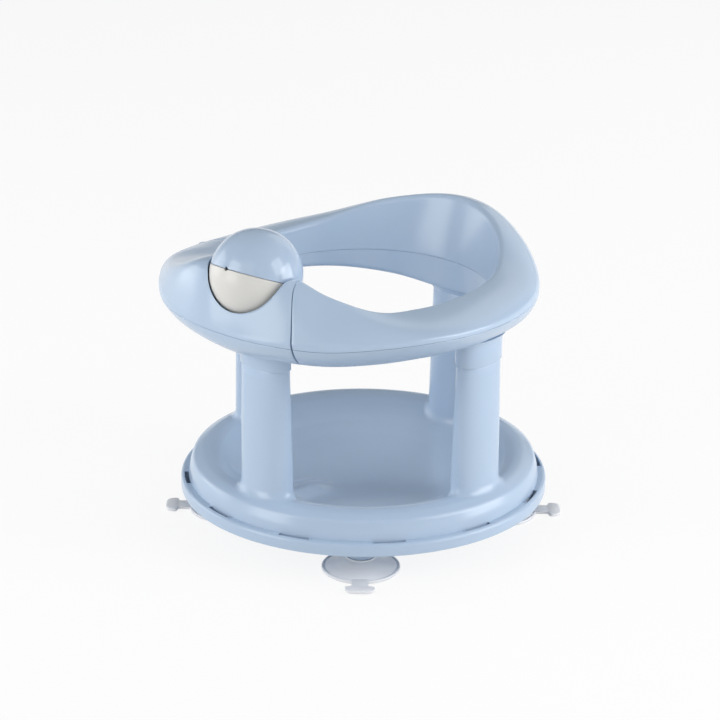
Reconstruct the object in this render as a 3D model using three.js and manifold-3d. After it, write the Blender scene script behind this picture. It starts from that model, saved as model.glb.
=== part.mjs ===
// Swivelling baby bath seat: a ring on four posts, standing on a turning tray over a base with suction cups.
// Millimetres, +Z up, the child faces -Y. The origin is the middle of the footprint, on the bath's floor.
import * as THREE from 'three';
import { mergeVertices } from 'three/addons/utils/BufferGeometryUtils.js';
import Module from 'manifold-3d';

const wasm = await Module();
wasm.setup();

// Shared clearances and counts
const fitGap = 0.3; // between faces that rest on or plug into each other
const runGap = 0.5; // between faces that move past each other
const overrun = 2; // how far a cutting tool runs past the face it cuts
const roundSides = 20;
const screwSides = 10;

// Suction cups, soft
const cup = {
  count: 4,
  pitchRadius: 135, // from the swivel axis to each cup's axis
  firstAngle: 40, // the base stands turned under the seat
  lipRadius: 37.6,
  lipHeight: 3,
  lipWidth: 4,
  beadWidth: 2.6,
  bellHeight: 13.5,
  bellWall: 2.6,
  shoulderRadius: 19,
  neckRadius: 14.5,
  stemRadius: 6.2,
  headRadius: 8.4,
  headHeight: 3.2,
};
const tab = {
  reach: 61, // from the cup's axis to the tip
  neckWidth: 16,
  headWidth: 30,
  headLength: 12,
  thickness: 3,
  lift: 1.2,
};

// Base disc
const base = {
  radius: 168,
  underside: 34.5,
  plate: 3,
  bossRadius: 13.4,
  hubRadius: 20,
  hubWall: 3,
  trackRadius: 46,
  trackWidth: 4,
};

// Turning tray
const tray = {
  flangeRadius: 180,
  flangeBottom: 32,
  ledgeHeight: 44,
  ledgeRound: 3.6,
  wall: 2.6,
  rimFootRadius: 172.2,
  rimOuterRadius: 168,
  rimTopRadius: 149,
  rimTop: 67.5,
  rimDrop: 0.8,
  panEdgeRadius: 120,
  panFloor: 47,
  panThickness: 3,
  slotCount: 12,
  slotFirstAngle: 19,
  slotSpan: 10, // degrees
  slotInset: 3, // from the flange's outer face to the slot
  slotDepth: 4.6, // across the ledge
  hookReach: 9.4, // from the skirt to the hook's tip
  hookThickness: 2,
  ridgeHeight: 7,
  ridgeWidth: 17,
  ridgeStart: 45,
  ridgeEnd: 112,
  facets: 48,
};

// Posts, one piece with the tray, widest along the rim
const post = {
  middleRadius: 141.5, // from the swivel axis to the middle at the top
  footRadius: 140,
  top: 195,
  topDepth: 28,
  topWidth: 54.4,
  footDepth: 35,
  footWidth: 57.6,
  filletHeight: 9,
  filletReach: 6,
  squareShare: 0.92,
  spigotStep: 3,
  spigotHeight: 22.7,
  screwHoleRadius: 2.2,
  screwHoleDepth: 24,
  wall: 3, // the posts are hollow from below
  coreTop: 188,
  facets: 20,
};

// The ring, in stations by the angle from the front, the same on both sides
const ring = {
  stationAngles: [0, 15, 30, 45, 60, 90, 120, 150, 180],
  crestRadius: [152, 153, 159, 155, 137.5, 126, 128, 135, 142],
  crestHeight: [297, 300, 281, 266.5, 260.5, 260, 264, 282, 292],
  outerRadius: [198, 201, 201, 198, 194, 175, 169, 165, 169],
  partingHeight: [241, 242, 242, 245, 247, 242, 240, 239, 239],
  bilgeRadius: [189, 188, 186, 179, 172, 163, 162, 159, 159],
  bottomHeight: [210, 212, 213, 215, 217, 218, 214, 206, 198],
  shoulderLean: [18, 15, 18, 5, 12, 10, 4, -3, -11],
  shoulderFullness: [0.5, 0.75, 0.65, 0.9, 0.9, 0.9, 0.9, 0.9, 0.9],
  outerWallHeight: [3, 5, 7, 9.7, 9.7, 9.7, 9.7, 9.7, 9.7],
  keelRadius: 140,
  innerRadius: 122.6,
  innerPartingHeight: 231.6,
  innerRound: 5,
  innerFoot: 3,
  crestOuter: 3,
  crestInner: 2,
  crestDrop: 3,
  wall: 3,
  endWall: 7,
  hingeWall: 12,
  partingGap: 0.4,
  step: 9, // degrees between sections
};
const frontAngle = 270;

// Sockets of the ring over the posts
const socket = {
  lip: 1.3, // how far the socket stands out past the post
  web: 3.3,
  tall: 14, // how far the socket's skin rises into the ring
};

// The opening front section
const gate = {
  latchEnd: 291.3, // angles round the swivel axis
  hingeEnd: 193.5,
  endGap: 0.6,
  veeGap: 1.8, // the free end's gap opens downwards
  tongueLength: 3,
  tongueHeight: 4,
  tongueWidth: 24,
  tongueRadius: 148,
  tongueRise: 244,
};
const hinge = {
  radius: 177, // from the swivel axis to the pin
  knuckleRadius: 8,
  pinRadius: 2.5,
  headRadius: 4.4,
  headHeight: 2,
  bottom: 225,
  knuckleHeight: 8,
};

// The ball in the gate
const ball = {
  radius: 43.5,
  wall: 2.5,
  centreRadius: 153.5,
  centreHeight: 287.5,
  pocketGap: 3.5,
  pocketWall: 3.6,
  splitTilt: 22, // degrees, the coloured half leans to the child
  axleRadius: 2.5,
  axleReach: 51,
  axleBoss: 5.5,
  dotRadius: 2,
  sides: 24,
};

// Screws
const screw = {
  ringAngles: [303, 335, 25, 65, 115, 155],
  gateAngles: [212, 243, 285],
  pitchRadius: 146,
  headRadius: 3.4,
  headHeight: 2.4,
  shankRadius: 1.5,
  headSeat: 228,
  length: 17,
  lowerBoss: 6.2,
  upperBoss: 4.6,
  bossJoint: 236,
};
const postScrew = { headRadius: 5, headHeight: 3, shankRadius: 1.8, length: 22 };

// Finishes
const blue = { color: 0xb4cce8, roughness: 0.32, metalness: 0 };
const finishes = {
  shell: blue,
  ballBlue: { color: 0xa9c4e6, roughness: 0.3, metalness: 0 },
  ballWhite: { color: 0xdedcda, roughness: 0.35, metalness: 0 },
  clear: { color: 0xd9dce2, roughness: 0.25, metalness: 0, transparent: true, opacity: 0.7 },
  steel: { color: 0xb9bcc0, roughness: 0.35, metalness: 1 },
};

const radians = THREE.MathUtils.degToRad;
const origin = [0, 0, 0];

// Solids from closed geometries and back
function solid(geometry) {
  const bare = geometry.clone();
  bare.deleteAttribute('normal');
  bare.deleteAttribute('uv');
  const merged = mergeVertices(bare, 1e-4);
  const index = merged.index.array;
  const kept = [];
  for (let i = 0; i < index.length; i += 3) {
    const [a, b, c] = [index[i], index[i + 1], index[i + 2]];
    if (a !== b && b !== c && c !== a) kept.push(a, b, c);
  }
  return new wasm.Manifold(new wasm.Mesh({
    numProp: 3,
    vertProperties: Float32Array.from(merged.attributes.position.array),
    triVerts: Uint32Array.from(kept),
  }));
}

function join(...parts) {
  return parts.reduce((sum, part) => sum.add(part));
}

function cut(body, ...tools) {
  return tools.reduce((left, tool) => left.subtract(tool), body);
}

// A closed skin over rings of points; closed rings wrap round, otherwise both ends get a cap
function loft(rings, wraps = false) {
  const count = rings[0].length;
  const points = rings.flat();
  const faces = [];
  const last = wraps ? rings.length : rings.length - 1;
  for (let i = 0; i < last; i += 1) {
    const next = (i + 1) % rings.length;
    for (let j = 0; j < count; j += 1) {
      const k = (j + 1) % count;
      const [a, b, c, d] = [i * count + j, i * count + k, next * count + k, next * count + j];
      faces.push(a, b, c, a, c, d);
    }
  }
  if (!wraps) {
    const middle = (loop) => loop.reduce((sum, p) => sum.add(p), new THREE.Vector3()).divideScalar(count);
    const low = points.length;
    points.push(middle(rings[0]));
    points.push(middle(rings[rings.length - 1]));
    const top = (rings.length - 1) * count;
    for (let j = 0; j < count; j += 1) {
      const k = (j + 1) % count;
      faces.push(low, k, j);
      faces.push(low + 1, top + j, top + k);
    }
  }
  const geometry = new THREE.BufferGeometry();
  geometry.setFromPoints(points);
  geometry.setIndex(faces);
  const body = solid(geometry);
  if (body.volume() > 0) return body;
  geometry.setIndex(faces.reverse());
  return solid(geometry);
}

function cylinder(radius, low, high, x = 0, y = 0, sides = roundSides, topRadius = radius) {
  const geometry = new THREE.CylinderGeometry(topRadius, radius, high - low, sides);
  geometry.rotateX(Math.PI / 2);
  geometry.translate(x, y, (low + high) / 2);
  return solid(geometry);
}

function sphere(radius, place, sides = ball.sides) {
  const geometry = new THREE.SphereGeometry(radius, sides, sides / 2);
  geometry.rotateZ(Math.PI / 2);
  geometry.translate(...place);
  return solid(geometry);
}

// A block in the frame of an angle: out runs away from the axis, along runs with the angle
function block(angle, out, along, up) {
  const geometry = new THREE.BoxGeometry(out[1] - out[0], along[1] - along[0], up[1] - up[0]);
  geometry.translate((out[0] + out[1]) / 2, (along[0] + along[1]) / 2, (up[0] + up[1]) / 2);
  geometry.rotateZ(radians(angle));
  return solid(geometry);
}

function polar(radius, angle, height = 0) {
  const turn = radians(angle);
  return new THREE.Vector3(radius * Math.cos(turn), radius * Math.sin(turn), height);
}

function turned(profile, sides) {
  const points = profile.map(([r, z]) => new THREE.Vector2(r, z));
  const geometry = new THREE.LatheGeometry(points, sides);
  geometry.rotateX(Math.PI / 2);
  const body = solid(geometry);
  if (body.volume() > 0) return body;
  return solid(new THREE.LatheGeometry(points.reverse(), sides).rotateX(Math.PI / 2));
}

// A sector of a ring between two angles
function sector(inner, outer, low, high, from, to, parts = 2) {
  const rings = [];
  for (let i = 0; i <= parts; i += 1) {
    const angle = from + ((to - from) * i) / parts;
    rings.push([polar(inner, angle, low), polar(outer, angle, low), polar(outer, angle, high),
      polar(inner, angle, high)]);
  }
  return loft(rings);
}

function bezier(start, middle, end, count) {
  const curve = new THREE.QuadraticBezierCurve(new THREE.Vector2(...start), new THREE.Vector2(...middle),
    new THREE.Vector2(...end));
  return curve.getPoints(count).slice(0, count).map((p) => [p.x, p.y]);
}

const group = new THREE.Group();

function add(name, body, finish) {
  const mesh = body.getMesh();
  const geometry = new THREE.BufferGeometry();
  geometry.setAttribute('position', new THREE.BufferAttribute(Float32Array.from(mesh.vertProperties), 3));
  geometry.setIndex(new THREE.BufferAttribute(Uint32Array.from(mesh.triVerts), 1));
  geometry.computeVertexNormals();
  const piece = new THREE.Mesh(geometry, new THREE.MeshStandardMaterial(finish));
  piece.name = name;
  group.add(piece);
}

// Suction cups: a thin bell with a beaded lip, a stem that snaps into the base and a tab to peel it off
const baseTop = base.underside + base.plate;

function suctionCup(angle) {
  const hollow = cup.bellHeight - cup.bellWall - (cup.bellHeight - cup.bellWall) / 3;
  const headBottom = baseTop + fitGap;
  const bell = turned([
    [0, hollow],
    [cup.neckRadius, hollow - cup.beadWidth / 4],
    [cup.lipRadius - cup.lipWidth, cup.lipHeight / 3],
    [cup.lipRadius - cup.lipWidth, 0],
    [cup.lipRadius - cup.lipHeight / 4, 0],
    [cup.lipRadius, cup.lipHeight / 4],
    [cup.lipRadius, cup.lipHeight * 0.8],
    [cup.lipRadius - cup.beadWidth, cup.lipHeight],
    [(cup.lipRadius + cup.shoulderRadius) / 2, cup.lipHeight + cup.bellWall],
    [cup.shoulderRadius, cup.bellHeight - cup.bellWall - cup.lipHeight / 2],
    [cup.neckRadius, cup.bellHeight - cup.bellWall / 2],
    [cup.neckRadius, cup.bellHeight],
    [cup.stemRadius, cup.bellHeight],
    [cup.stemRadius, headBottom],
    [cup.headRadius, headBottom],
    [cup.stemRadius, headBottom + cup.headHeight],
    [0, headBottom + cup.headHeight],
  ], roundSides);
  const headStart = tab.reach - tab.headLength;
  const shape = new THREE.Shape();
  shape.moveTo(cup.lipRadius - cup.beadWidth, -tab.neckWidth / 2);
  shape.lineTo(headStart, -tab.neckWidth / 2);
  shape.lineTo(headStart, -tab.headWidth / 2 + tab.headLength / 4);
  shape.lineTo(headStart + tab.headLength / 4, -tab.headWidth / 2);
  shape.quadraticCurveTo(tab.reach, -tab.headWidth / 3, tab.reach, 0);
  shape.quadraticCurveTo(tab.reach, tab.headWidth / 3, headStart + tab.headLength / 4, tab.headWidth / 2);
  shape.lineTo(headStart, tab.headWidth / 2 - tab.headLength / 4);
  shape.lineTo(headStart, tab.neckWidth / 2);
  shape.lineTo(cup.lipRadius - cup.beadWidth, tab.neckWidth / 2);
  const plate = new THREE.ExtrudeGeometry(shape, { depth: tab.thickness, bevelEnabled: false, curveSegments: 4 });
  plate.translate(0, 0, tab.lift);
  const body = join(bell, solid(plate));
  const place = polar(cup.pitchRadius, angle);
  return body.rotate([0, 0, angle]).translate([place.x, place.y, 0]);
}

const cupAngles = [];
for (let i = 0; i < cup.count; i += 1) {
  cupAngles.push(cup.firstAngle + (360 / cup.count) * i);
}
const cupNames = ['left_rear', 'right_rear', 'right_front', 'left_front'];
cupAngles.forEach((angle, i) => {
  add(`suction_cup_${cupNames[i % cupNames.length]}`, suctionCup(angle), finishes.clear);
});

// Base disc: a plate with a boss over each cup, a hub for the tray and a track under the pan
const panUnderside = tray.panFloor - tray.panThickness;
const hubTop = panUnderside - runGap;

function baseDisc() {
  const bossBottom = cup.bellHeight + fitGap;
  let body = turned([
    [0, base.underside],
    [base.radius, base.underside],
    [base.radius, baseTop],
    [base.trackRadius + base.trackWidth, baseTop],
    [base.trackRadius + base.trackWidth, hubTop],
    [base.trackRadius, hubTop],
    [base.trackRadius, baseTop],
    [base.hubRadius, baseTop],
    [base.hubRadius, hubTop],
    [base.hubRadius - base.hubWall, hubTop],
    [base.hubRadius - base.hubWall, baseTop],
    [0, baseTop],
  ], tray.facets);
  for (const angle of cupAngles) {
    const place = polar(cup.pitchRadius, angle);
    body = join(body, cylinder(base.bossRadius, bossBottom, base.underside + base.plate / 2, place.x, place.y));
  }
  for (const angle of cupAngles) {
    const place = polar(cup.pitchRadius, angle);
    body = cut(body, cylinder(cup.stemRadius + fitGap, bossBottom - overrun, baseTop + overrun, place.x, place.y));
  }
  return body;
}
add('base_disc', baseDisc(), finishes.shell);

// The pan's floor rises in a low ridge towards the front post
function ridgeAt(x, y) {
  const front = -y;
  const along = THREE.MathUtils.smoothstep(front, tray.ridgeStart, (tray.ridgeStart + tray.ridgeEnd) / 2);
  const fade = 1 - THREE.MathUtils.smoothstep(front, tray.ridgeEnd, tray.rimTopRadius);
  return tray.ridgeHeight * along * fade * Math.exp(-((x / tray.ridgeWidth) ** 2));
}

// The tray's upper surface as radius and height, from the flange's outer foot to the middle
const rimRound = (tray.rimOuterRadius - tray.rimTopRadius) / 2;
const rimMiddle = tray.rimTop - rimRound / 2;
const floorRise = (tray.rimTop - tray.panFloor) / 5;
const panSlope = (tray.rimTopRadius - tray.panEdgeRadius) / 3;

function trayProfile() {
  const thick = tray.panThickness;
  const edge = tray.panEdgeRadius;
  const slope = panSlope;
  return [
    [tray.flangeRadius - tray.wall, tray.flangeBottom],
    [tray.flangeRadius, tray.flangeBottom],
    [tray.flangeRadius, tray.ledgeHeight - tray.ledgeRound],
    [tray.flangeRadius - tray.ledgeRound * 0.3, tray.ledgeHeight - tray.ledgeRound * 0.3],
    [tray.flangeRadius - tray.ledgeRound, tray.ledgeHeight],
    [tray.rimFootRadius, tray.ledgeHeight],
    [tray.rimOuterRadius + thick, rimMiddle - rimRound],
    [tray.rimOuterRadius, rimMiddle],
    [tray.rimOuterRadius - rimRound, tray.rimTop - tray.rimDrop],
    [tray.rimTopRadius, tray.rimTop],
    [tray.rimTopRadius - slope, tray.rimTop - floorRise / 2],
    [edge + slope, tray.rimTop - floorRise * 2],
    [edge, tray.panFloor + floorRise * 1.8],
    [edge - slope, tray.panFloor + floorRise],
    [edge * 0.7, tray.panFloor + floorRise / 3],
    [edge * 0.5, tray.panFloor + floorRise / 8],
    [edge * 0.3, tray.panFloor],
    [edge * 0.1, tray.panFloor],
  ];
}

function trayHeight(x, y) {
  const radius = Math.hypot(x, y);
  const profile = trayProfile();
  let i = profile.length - 2;
  while (i > 0 && profile[i][0] < radius) i -= 1;
  const [[r0, z0], [r1, z1]] = [profile[i], profile[i + 1]];
  return z0 + ((z1 - z0) * (radius - r0)) / (r1 - r0) + (radius < tray.rimTopRadius ? ridgeAt(x, y) : 0);
}

function trayShell() {
  const thick = tray.panThickness;
  const edge = tray.panEdgeRadius;
  const slope = panSlope;
  const profile = trayProfile();
  const under = [
    [edge * 0.1, panUnderside],
    [edge * 0.3, panUnderside],
    [edge * 0.5, panUnderside + floorRise / 8],
    [edge * 0.7, panUnderside + floorRise / 3],
    [edge - slope, panUnderside + floorRise],
    [edge + thick / 2, panUnderside + floorRise * 1.8],
    [edge + slope + thick / 2, tray.rimTop - floorRise * 2 - thick],
    [tray.rimTopRadius - slope + thick / 3, tray.rimTop - floorRise / 2 - thick],
    [tray.rimTopRadius, tray.rimTop - thick],
    [tray.rimOuterRadius - rimRound - thick / 3, tray.rimTop - tray.rimDrop - thick],
    [tray.rimOuterRadius - thick, rimMiddle - thick / 2],
    [tray.rimOuterRadius, rimMiddle - rimRound],
    [tray.rimFootRadius - tray.wall, tray.ledgeHeight - tray.wall],
    [tray.flangeRadius - tray.wall, tray.ledgeHeight - tray.wall],
  ];
  const loop = [...profile, ...under];
  const centreTop = profile.length - 1;
  const rings = [];
  for (let i = 0; i < tray.facets; i += 1) {
    const angle = (360 / tray.facets) * i;
    rings.push(loop.map(([r, z]) => {
      const p = polar(r, angle, z);
      p.z += r < tray.rimTopRadius ? ridgeAt(p.x, p.y) : 0;
      return p;
    }));
  }
  const skin = loft(rings, true);
  const plug = cylinder(loop[centreTop][0] + fitGap, panUnderside, tray.panFloor, 0, 0, roundSides);
  return join(skin, plug);
}

// A rounded oblong in plan at a height, depth measured away from the axis
function oblong(angle, middleRadius, depth, width, height, share = post.squareShare) {
  const loop = [];
  for (let i = 0; i < post.facets; i += 1) {
    const turn = (2 * Math.PI * i) / post.facets;
    const out = middleRadius + (depth / 2) * Math.sign(Math.cos(turn)) * Math.abs(Math.cos(turn)) ** share;
    const along = (width / 2) * Math.sign(Math.sin(turn)) * Math.abs(Math.sin(turn)) ** share;
    const p = new THREE.Vector3(out, along, height);
    loop.push(p.applyAxisAngle(new THREE.Vector3(0, 0, 1), radians(angle)));
  }
  return loop;
}

const postMiddle = post.middleRadius;
const postAngles = { left: 0, rear: 90, right: 180, front: frontAngle };
const socketBottom = post.top + fitGap;
const webBottom = post.top + post.spigotHeight + fitGap;
const webTop = webBottom + socket.web;

// A post's foot follows the tray's surface and runs into it in a fillet
function postSolid(angle) {
  const rise = post.top - tray.rimTop;
  const sunk = -tray.panThickness / 2;
  const levels = [
    [0.15, sunk, 0],
    [0.6, sunk, 0],
    [1, sunk, post.filletReach],
    [1, 0, post.filletReach * 0.8],
    [1, post.filletHeight * 0.25, post.filletReach * 0.4],
    [1, post.filletHeight * 0.55, post.filletReach * 0.14],
    [1, post.filletHeight, 0],
  ];
  const rings = levels.map(([share, lift, flare]) => {
    const up = Math.max(lift / rise, 0);
    const depth = THREE.MathUtils.lerp(post.footDepth, post.topDepth, up) + flare * 2;
    const width = THREE.MathUtils.lerp(post.footWidth, post.topWidth, up) + flare * 2;
    const middle = THREE.MathUtils.lerp(post.footRadius, postMiddle, up);
    const loop = oblong(angle, middle, depth * share, width * share, 0);
    return loop.map((p) => p.setZ(trayHeight(p.x, p.y) + lift));
  });
  rings.push(oblong(angle, postMiddle, post.topDepth, post.topWidth, post.top));
  return loft(rings);
}

function postCore(angle) {
  const thin = post.wall * 2;
  return loft([
    oblong(angle, post.footRadius, post.footDepth - thin, post.footWidth - thin, tray.ledgeHeight),
    oblong(angle, post.footRadius, post.footDepth - thin, post.footWidth - thin, tray.rimTop),
    oblong(angle, postMiddle, post.topDepth - thin, post.topWidth - thin, post.coreTop),
  ]);
}

function spigot(angle) {
  const step = post.spigotStep * 2;
  const section = (height) => oblong(angle, postMiddle, post.topDepth - step, post.topWidth - step, height);
  const place = polar(postMiddle, angle);
  const top = post.top + post.spigotHeight;
  const hole = cylinder(post.screwHoleRadius, top - post.screwHoleDepth, top + overrun, place.x, place.y, screwSides);
  return cut(loft([section(post.top - overrun), section(top)]), hole);
}

function seatTray() {
  let body = trayShell();
  for (const angle of Object.values(postAngles)) {
    body = cut(join(body, postSolid(angle)), postCore(angle));
    if (angle !== frontAngle) {
      const place = polar(postMiddle, angle);
      const top = post.top + post.spigotHeight;
      const hole = cylinder(post.screwHoleRadius, top - post.screwHoleDepth, top, place.x, place.y, screwSides);
      body = join(cut(body, hole), spigot(angle));
    }
  }
  const skirt = tray.flangeRadius - tray.wall;
  for (let i = 0; i < tray.slotCount; i += 1) {
    const middle = tray.slotFirstAngle + (360 / tray.slotCount) * i;
    const [from, to] = [middle - tray.slotSpan / 2, middle + tray.slotSpan / 2];
    const outer = tray.flangeRadius - tray.slotInset;
    const slot = sector(outer - tray.slotDepth, outer, tray.ledgeHeight - tray.wall - overrun,
      tray.ledgeHeight + overrun, from, to);
    const hook = sector(skirt - tray.hookReach, skirt + tray.wall / 2, tray.flangeBottom,
      tray.flangeBottom + tray.hookThickness, from, to);
    body = join(cut(body, slot), hook);
  }
  const collar = cut(
    cylinder(base.hubRadius + runGap + tray.panThickness, baseTop + runGap, panUnderside + fitGap),
    cylinder(base.hubRadius + runGap, baseTop, panUnderside + overrun / 2),
  );
  return join(body, collar);
}
add('seat_tray', seatTray(), finishes.shell);

// Values between the ring's stations follow smooth curves, level at the front and the back
function station(values, angle) {
  const away = Math.abs(((angle - frontAngle + 540) % 360) - 180);
  const at = ring.stationAngles;
  let i = 0;
  while (i < at.length - 2 && away > at[i + 1]) i += 1;
  const slopeAt = (k) => {
    if (k === 0 || k === at.length - 1) return 0;
    return (values[k + 1] - values[k - 1]) / (at[k + 1] - at[k - 1]);
  };
  const span = at[i + 1] - at[i];
  const t = (away - at[i]) / span;
  const [t2, t3] = [t * t, t * t * t];
  return (2 * t3 - 3 * t2 + 1) * values[i] + (t3 - 2 * t2 + t) * span * slopeAt(i)
    + (3 * t2 - 2 * t3) * values[i + 1] + (t3 - t2) * span * slopeAt(i + 1);
}

// The ring's section at an angle as radius and height, shrunk by an inset for the hollow inside
function ringSection(angle, inset = 0) {
  const crestR = station(ring.crestRadius, angle);
  const crestZ = station(ring.crestHeight, angle) - inset * 1.4;
  const outerR = station(ring.outerRadius, angle) - inset;
  const partingZ = station(ring.partingHeight, angle);
  const bilgeR = station(ring.bilgeRadius, angle) - inset;
  const bottomZ = station(ring.bottomHeight, angle) + inset;
  const lean = station(ring.shoulderLean, angle);
  const innerR = ring.innerRadius + inset;
  const wallTop = partingZ + station(ring.outerWallHeight, angle);
  const full = wallTop + station(ring.shoulderFullness, angle) * (crestZ - wallTop);
  const innerFoot = bottomZ + ring.innerRound;
  const detail = inset > 0 ? 0.5 : 1;
  const count = (n) => Math.max(1, Math.round(n * detail));
  const crestOut = [crestR + ring.crestOuter, crestZ];
  const crestIn = [Math.max(crestR, innerR + ring.crestDrop) - ring.crestInner, crestZ - ring.crestDrop];
  return [
    ...bezier([innerR, innerFoot], [innerR, bottomZ], [innerR + ring.innerRound * 2, bottomZ], count(2)),
    [innerR + ring.innerRound * 2, bottomZ],
    ...bezier([ring.keelRadius, bottomZ], [bilgeR, bottomZ], [outerR - fitGap, partingZ], count(5)),
    [outerR - fitGap, partingZ],
    ...bezier([outerR, wallTop], [outerR - lean, full], crestOut, count(6)),
    ...bezier(crestOut, [crestR, crestZ], crestIn, count(2)),
    ...bezier(crestIn, [innerR + ring.innerFoot, ring.innerPartingHeight + ring.innerFoot * 4],
      [innerR, ring.innerPartingHeight], count(4)),
    [innerR, ring.innerPartingHeight],
  ];
}

function sweepAngles(from, to) {
  const list = [from];
  const first = Math.ceil((from + 1) / ring.step) * ring.step;
  for (let angle = first; angle < to - 1; angle += ring.step) list.push(angle);
  list.push(to);
  return list;
}

function sweep(from, to, section) {
  return loft(sweepAngles(from, to).map((angle) => section(angle).map(([r, z]) => polar(r, angle, z))));
}

// Everything under the parting surface, lowered or raised by half the parting gap
function partingRegion(from, to, upper) {
  const reach = [ring.innerRadius / 2, tray.flangeRadius * 1.5];
  const far = upper ? ball.centreHeight * 1.5 : post.top - socket.web;
  const shift = (upper ? 1 : -1) * (ring.partingGap / 2);
  return sweep(from, to, (angle) => {
    const outerR = station(ring.outerRadius, angle);
    const outerZ = station(ring.partingHeight, angle);
    const rise = (outerZ - ring.innerPartingHeight) / (outerR - ring.innerRadius);
    const heights = reach.map((r) => ring.innerPartingHeight + (r - ring.innerRadius) * rise + shift);
    return [[reach[0], far], [reach[1], far], [reach[1], heights[1]], [reach[0], heights[0]]];
  });
}

function ringShells(from, to, startWall, endWall) {
  const outer = sweep(from, to, (angle) => ringSection(angle));
  const turnOf = (wall) => THREE.MathUtils.radToDeg(wall / ring.keelRadius);
  const hollow = sweep(from + turnOf(startWall), to - turnOf(endWall), (angle) => ringSection(angle, ring.wall));
  const margin = turnOf(ring.wall);
  return {
    outer,
    hollow,
    lowerRegion: partingRegion(from - margin, to + margin, false),
    upperRegion: partingRegion(from - margin, to + margin, true),
  };
}

// The ring's socket over a post: a skin that blends into the ring, and a core that takes the spigot
function towerPart(angle, grow, low, high) {
  const section = (height) => oblong(angle, postMiddle, post.topDepth + grow * 2, post.topWidth + grow * 2, height);
  return loft([section(low), section(high)]);
}

function addTowers(lower, hollow, angles, open) {
  let body = lower;
  const skinTop = webBottom + socket.tall;
  for (const angle of angles) {
    body = join(body, cut(towerPart(angle, socket.lip, socketBottom, skinTop), hollow));
    if (open) {
      const deep = socketBottom + socket.web;
      body = cut(body, towerPart(angle, socket.lip - ring.wall, deep, skinTop + overrun));
    } else {
      body = join(body, towerPart(angle, socket.lip, socketBottom, webTop));
      const bore = towerPart(angle, fitGap - post.spigotStep, socketBottom - overrun, webBottom);
      const place = polar(postMiddle, angle);
      const hole = cylinder(post.screwHoleRadius, webBottom - overrun, webTop + overrun, place.x, place.y, screwSides);
      const seat = cylinder(postScrew.headRadius + runGap, webTop, webTop + postScrew.headHeight * 2, place.x, place.y,
        screwSides * 2);
      body = cut(body, bore, hole, seat);
    }
  }
  return body;
}

// Screw bosses: the lower one takes the head from below, the upper one the thread
function lowerBosses(lower, outer, angles) {
  let body = lower;
  for (const angle of angles) {
    const place = polar(screw.pitchRadius, angle);
    const floor = station(ring.bottomHeight, angle);
    const column = cylinder(screw.lowerBoss, floor + fitGap, screw.bossJoint, place.x, place.y, screwSides * 2);
    const well = cylinder(screw.headRadius + fitGap, floor - overrun * 2, screw.headSeat, place.x, place.y, screwSides);
    const hole = cylinder(screw.shankRadius + fitGap, floor, screw.bossJoint + overrun, place.x, place.y, screwSides);
    body = cut(join(body, column.intersect(outer)), well, hole);
  }
  return body;
}

function upperBosses(upper, outer, angles) {
  let body = upper;
  const tip = screw.headSeat + screw.length;
  for (const angle of angles) {
    const place = polar(screw.pitchRadius, angle);
    const top = station(ring.crestHeight, angle);
    const low = screw.bossJoint + fitGap;
    const column = cylinder(screw.upperBoss, low, top, place.x, place.y, screwSides * 2).intersect(outer);
    const hole = cylinder(screw.shankRadius + fitGap, low - overrun, tip + fitGap, place.x, place.y, screwSides);
    body = cut(join(body, column), hole);
  }
  return body;
}

// The fixed part of the ring, from the latch end round the back to the hinge
const endTurn = THREE.MathUtils.radToDeg(gate.endGap / ring.keelRadius) / 2;
const fixedFrom = gate.latchEnd + endTurn;
const fixedTo = gate.hingeEnd + 360 - endTurn;
const fixed = ringShells(fixedFrom, fixedTo, ring.endWall, ring.hingeWall);
const moving = ringShells(gate.hingeEnd + endTurn, gate.latchEnd - endTurn, ring.hingeWall, ring.endWall);

// Hinge: three knuckles round one pin, in a notch of the fixed end's outer corner
const hingePlace = polar(hinge.radius, gate.hingeEnd);
const knuckleLevels = [0, 1, 2].map((i) => hinge.bottom + i * (hinge.knuckleHeight + runGap));

function knuckle(level) {
  return cylinder(hinge.knuckleRadius, level, level + hinge.knuckleHeight, hingePlace.x, hingePlace.y);
}

function knuckleRoom(level) {
  return cylinder(hinge.knuckleRadius + runGap, level - runGap, level + hinge.knuckleHeight + runGap,
    hingePlace.x, hingePlace.y);
}

function pinHole(low, high) {
  return cylinder(hinge.pinRadius + fitGap, low, high, hingePlace.x, hingePlace.y);
}

const hingeCorner = station(ring.outerRadius, gate.hingeEnd) - hinge.radius + runGap * 2;
const notch = block(gate.hingeEnd, [hinge.radius, tray.flangeRadius * 1.5], [-hingeCorner, overrun],
  [post.top, ball.centreHeight]);
const pinTop = knuckleLevels[2] + hinge.knuckleHeight / 2;

const tongueTurn = THREE.MathUtils.radToDeg(gate.tongueLength / gate.tongueRadius);
const tongueRange = [gate.tongueRadius - gate.tongueWidth / 2, gate.tongueRadius + gate.tongueWidth / 2];
const tongueTop = gate.tongueRise + gate.tongueHeight;
const tongue = sector(tongueRange[0], tongueRange[1], gate.tongueRise, tongueTop,
  gate.latchEnd - tongueTurn, gate.latchEnd + tongueTurn);
const groove = sector(tongueRange[0] - runGap * 2, tongueRange[1] + gate.tongueLength + runGap * 4,
  gate.tongueRise - runGap, tongueTop + runGap, gate.latchEnd - tongueTurn, gate.latchEnd + tongueTurn * 1.5);

function fixedLower() {
  let body = cut(fixed.outer, fixed.hollow).intersect(fixed.lowerRegion);
  body = addTowers(body, fixed.hollow, [postAngles.left, postAngles.rear, postAngles.right], false);
  body = lowerBosses(body, fixed.outer, screw.ringAngles);
  body = cut(body, notch, knuckleRoom(knuckleLevels[1]), knuckleRoom(knuckleLevels[2]));
  body = join(body, knuckle(knuckleLevels[0]));
  return cut(body, pinHole(hinge.bottom - overrun, knuckleLevels[2]));
}

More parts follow.
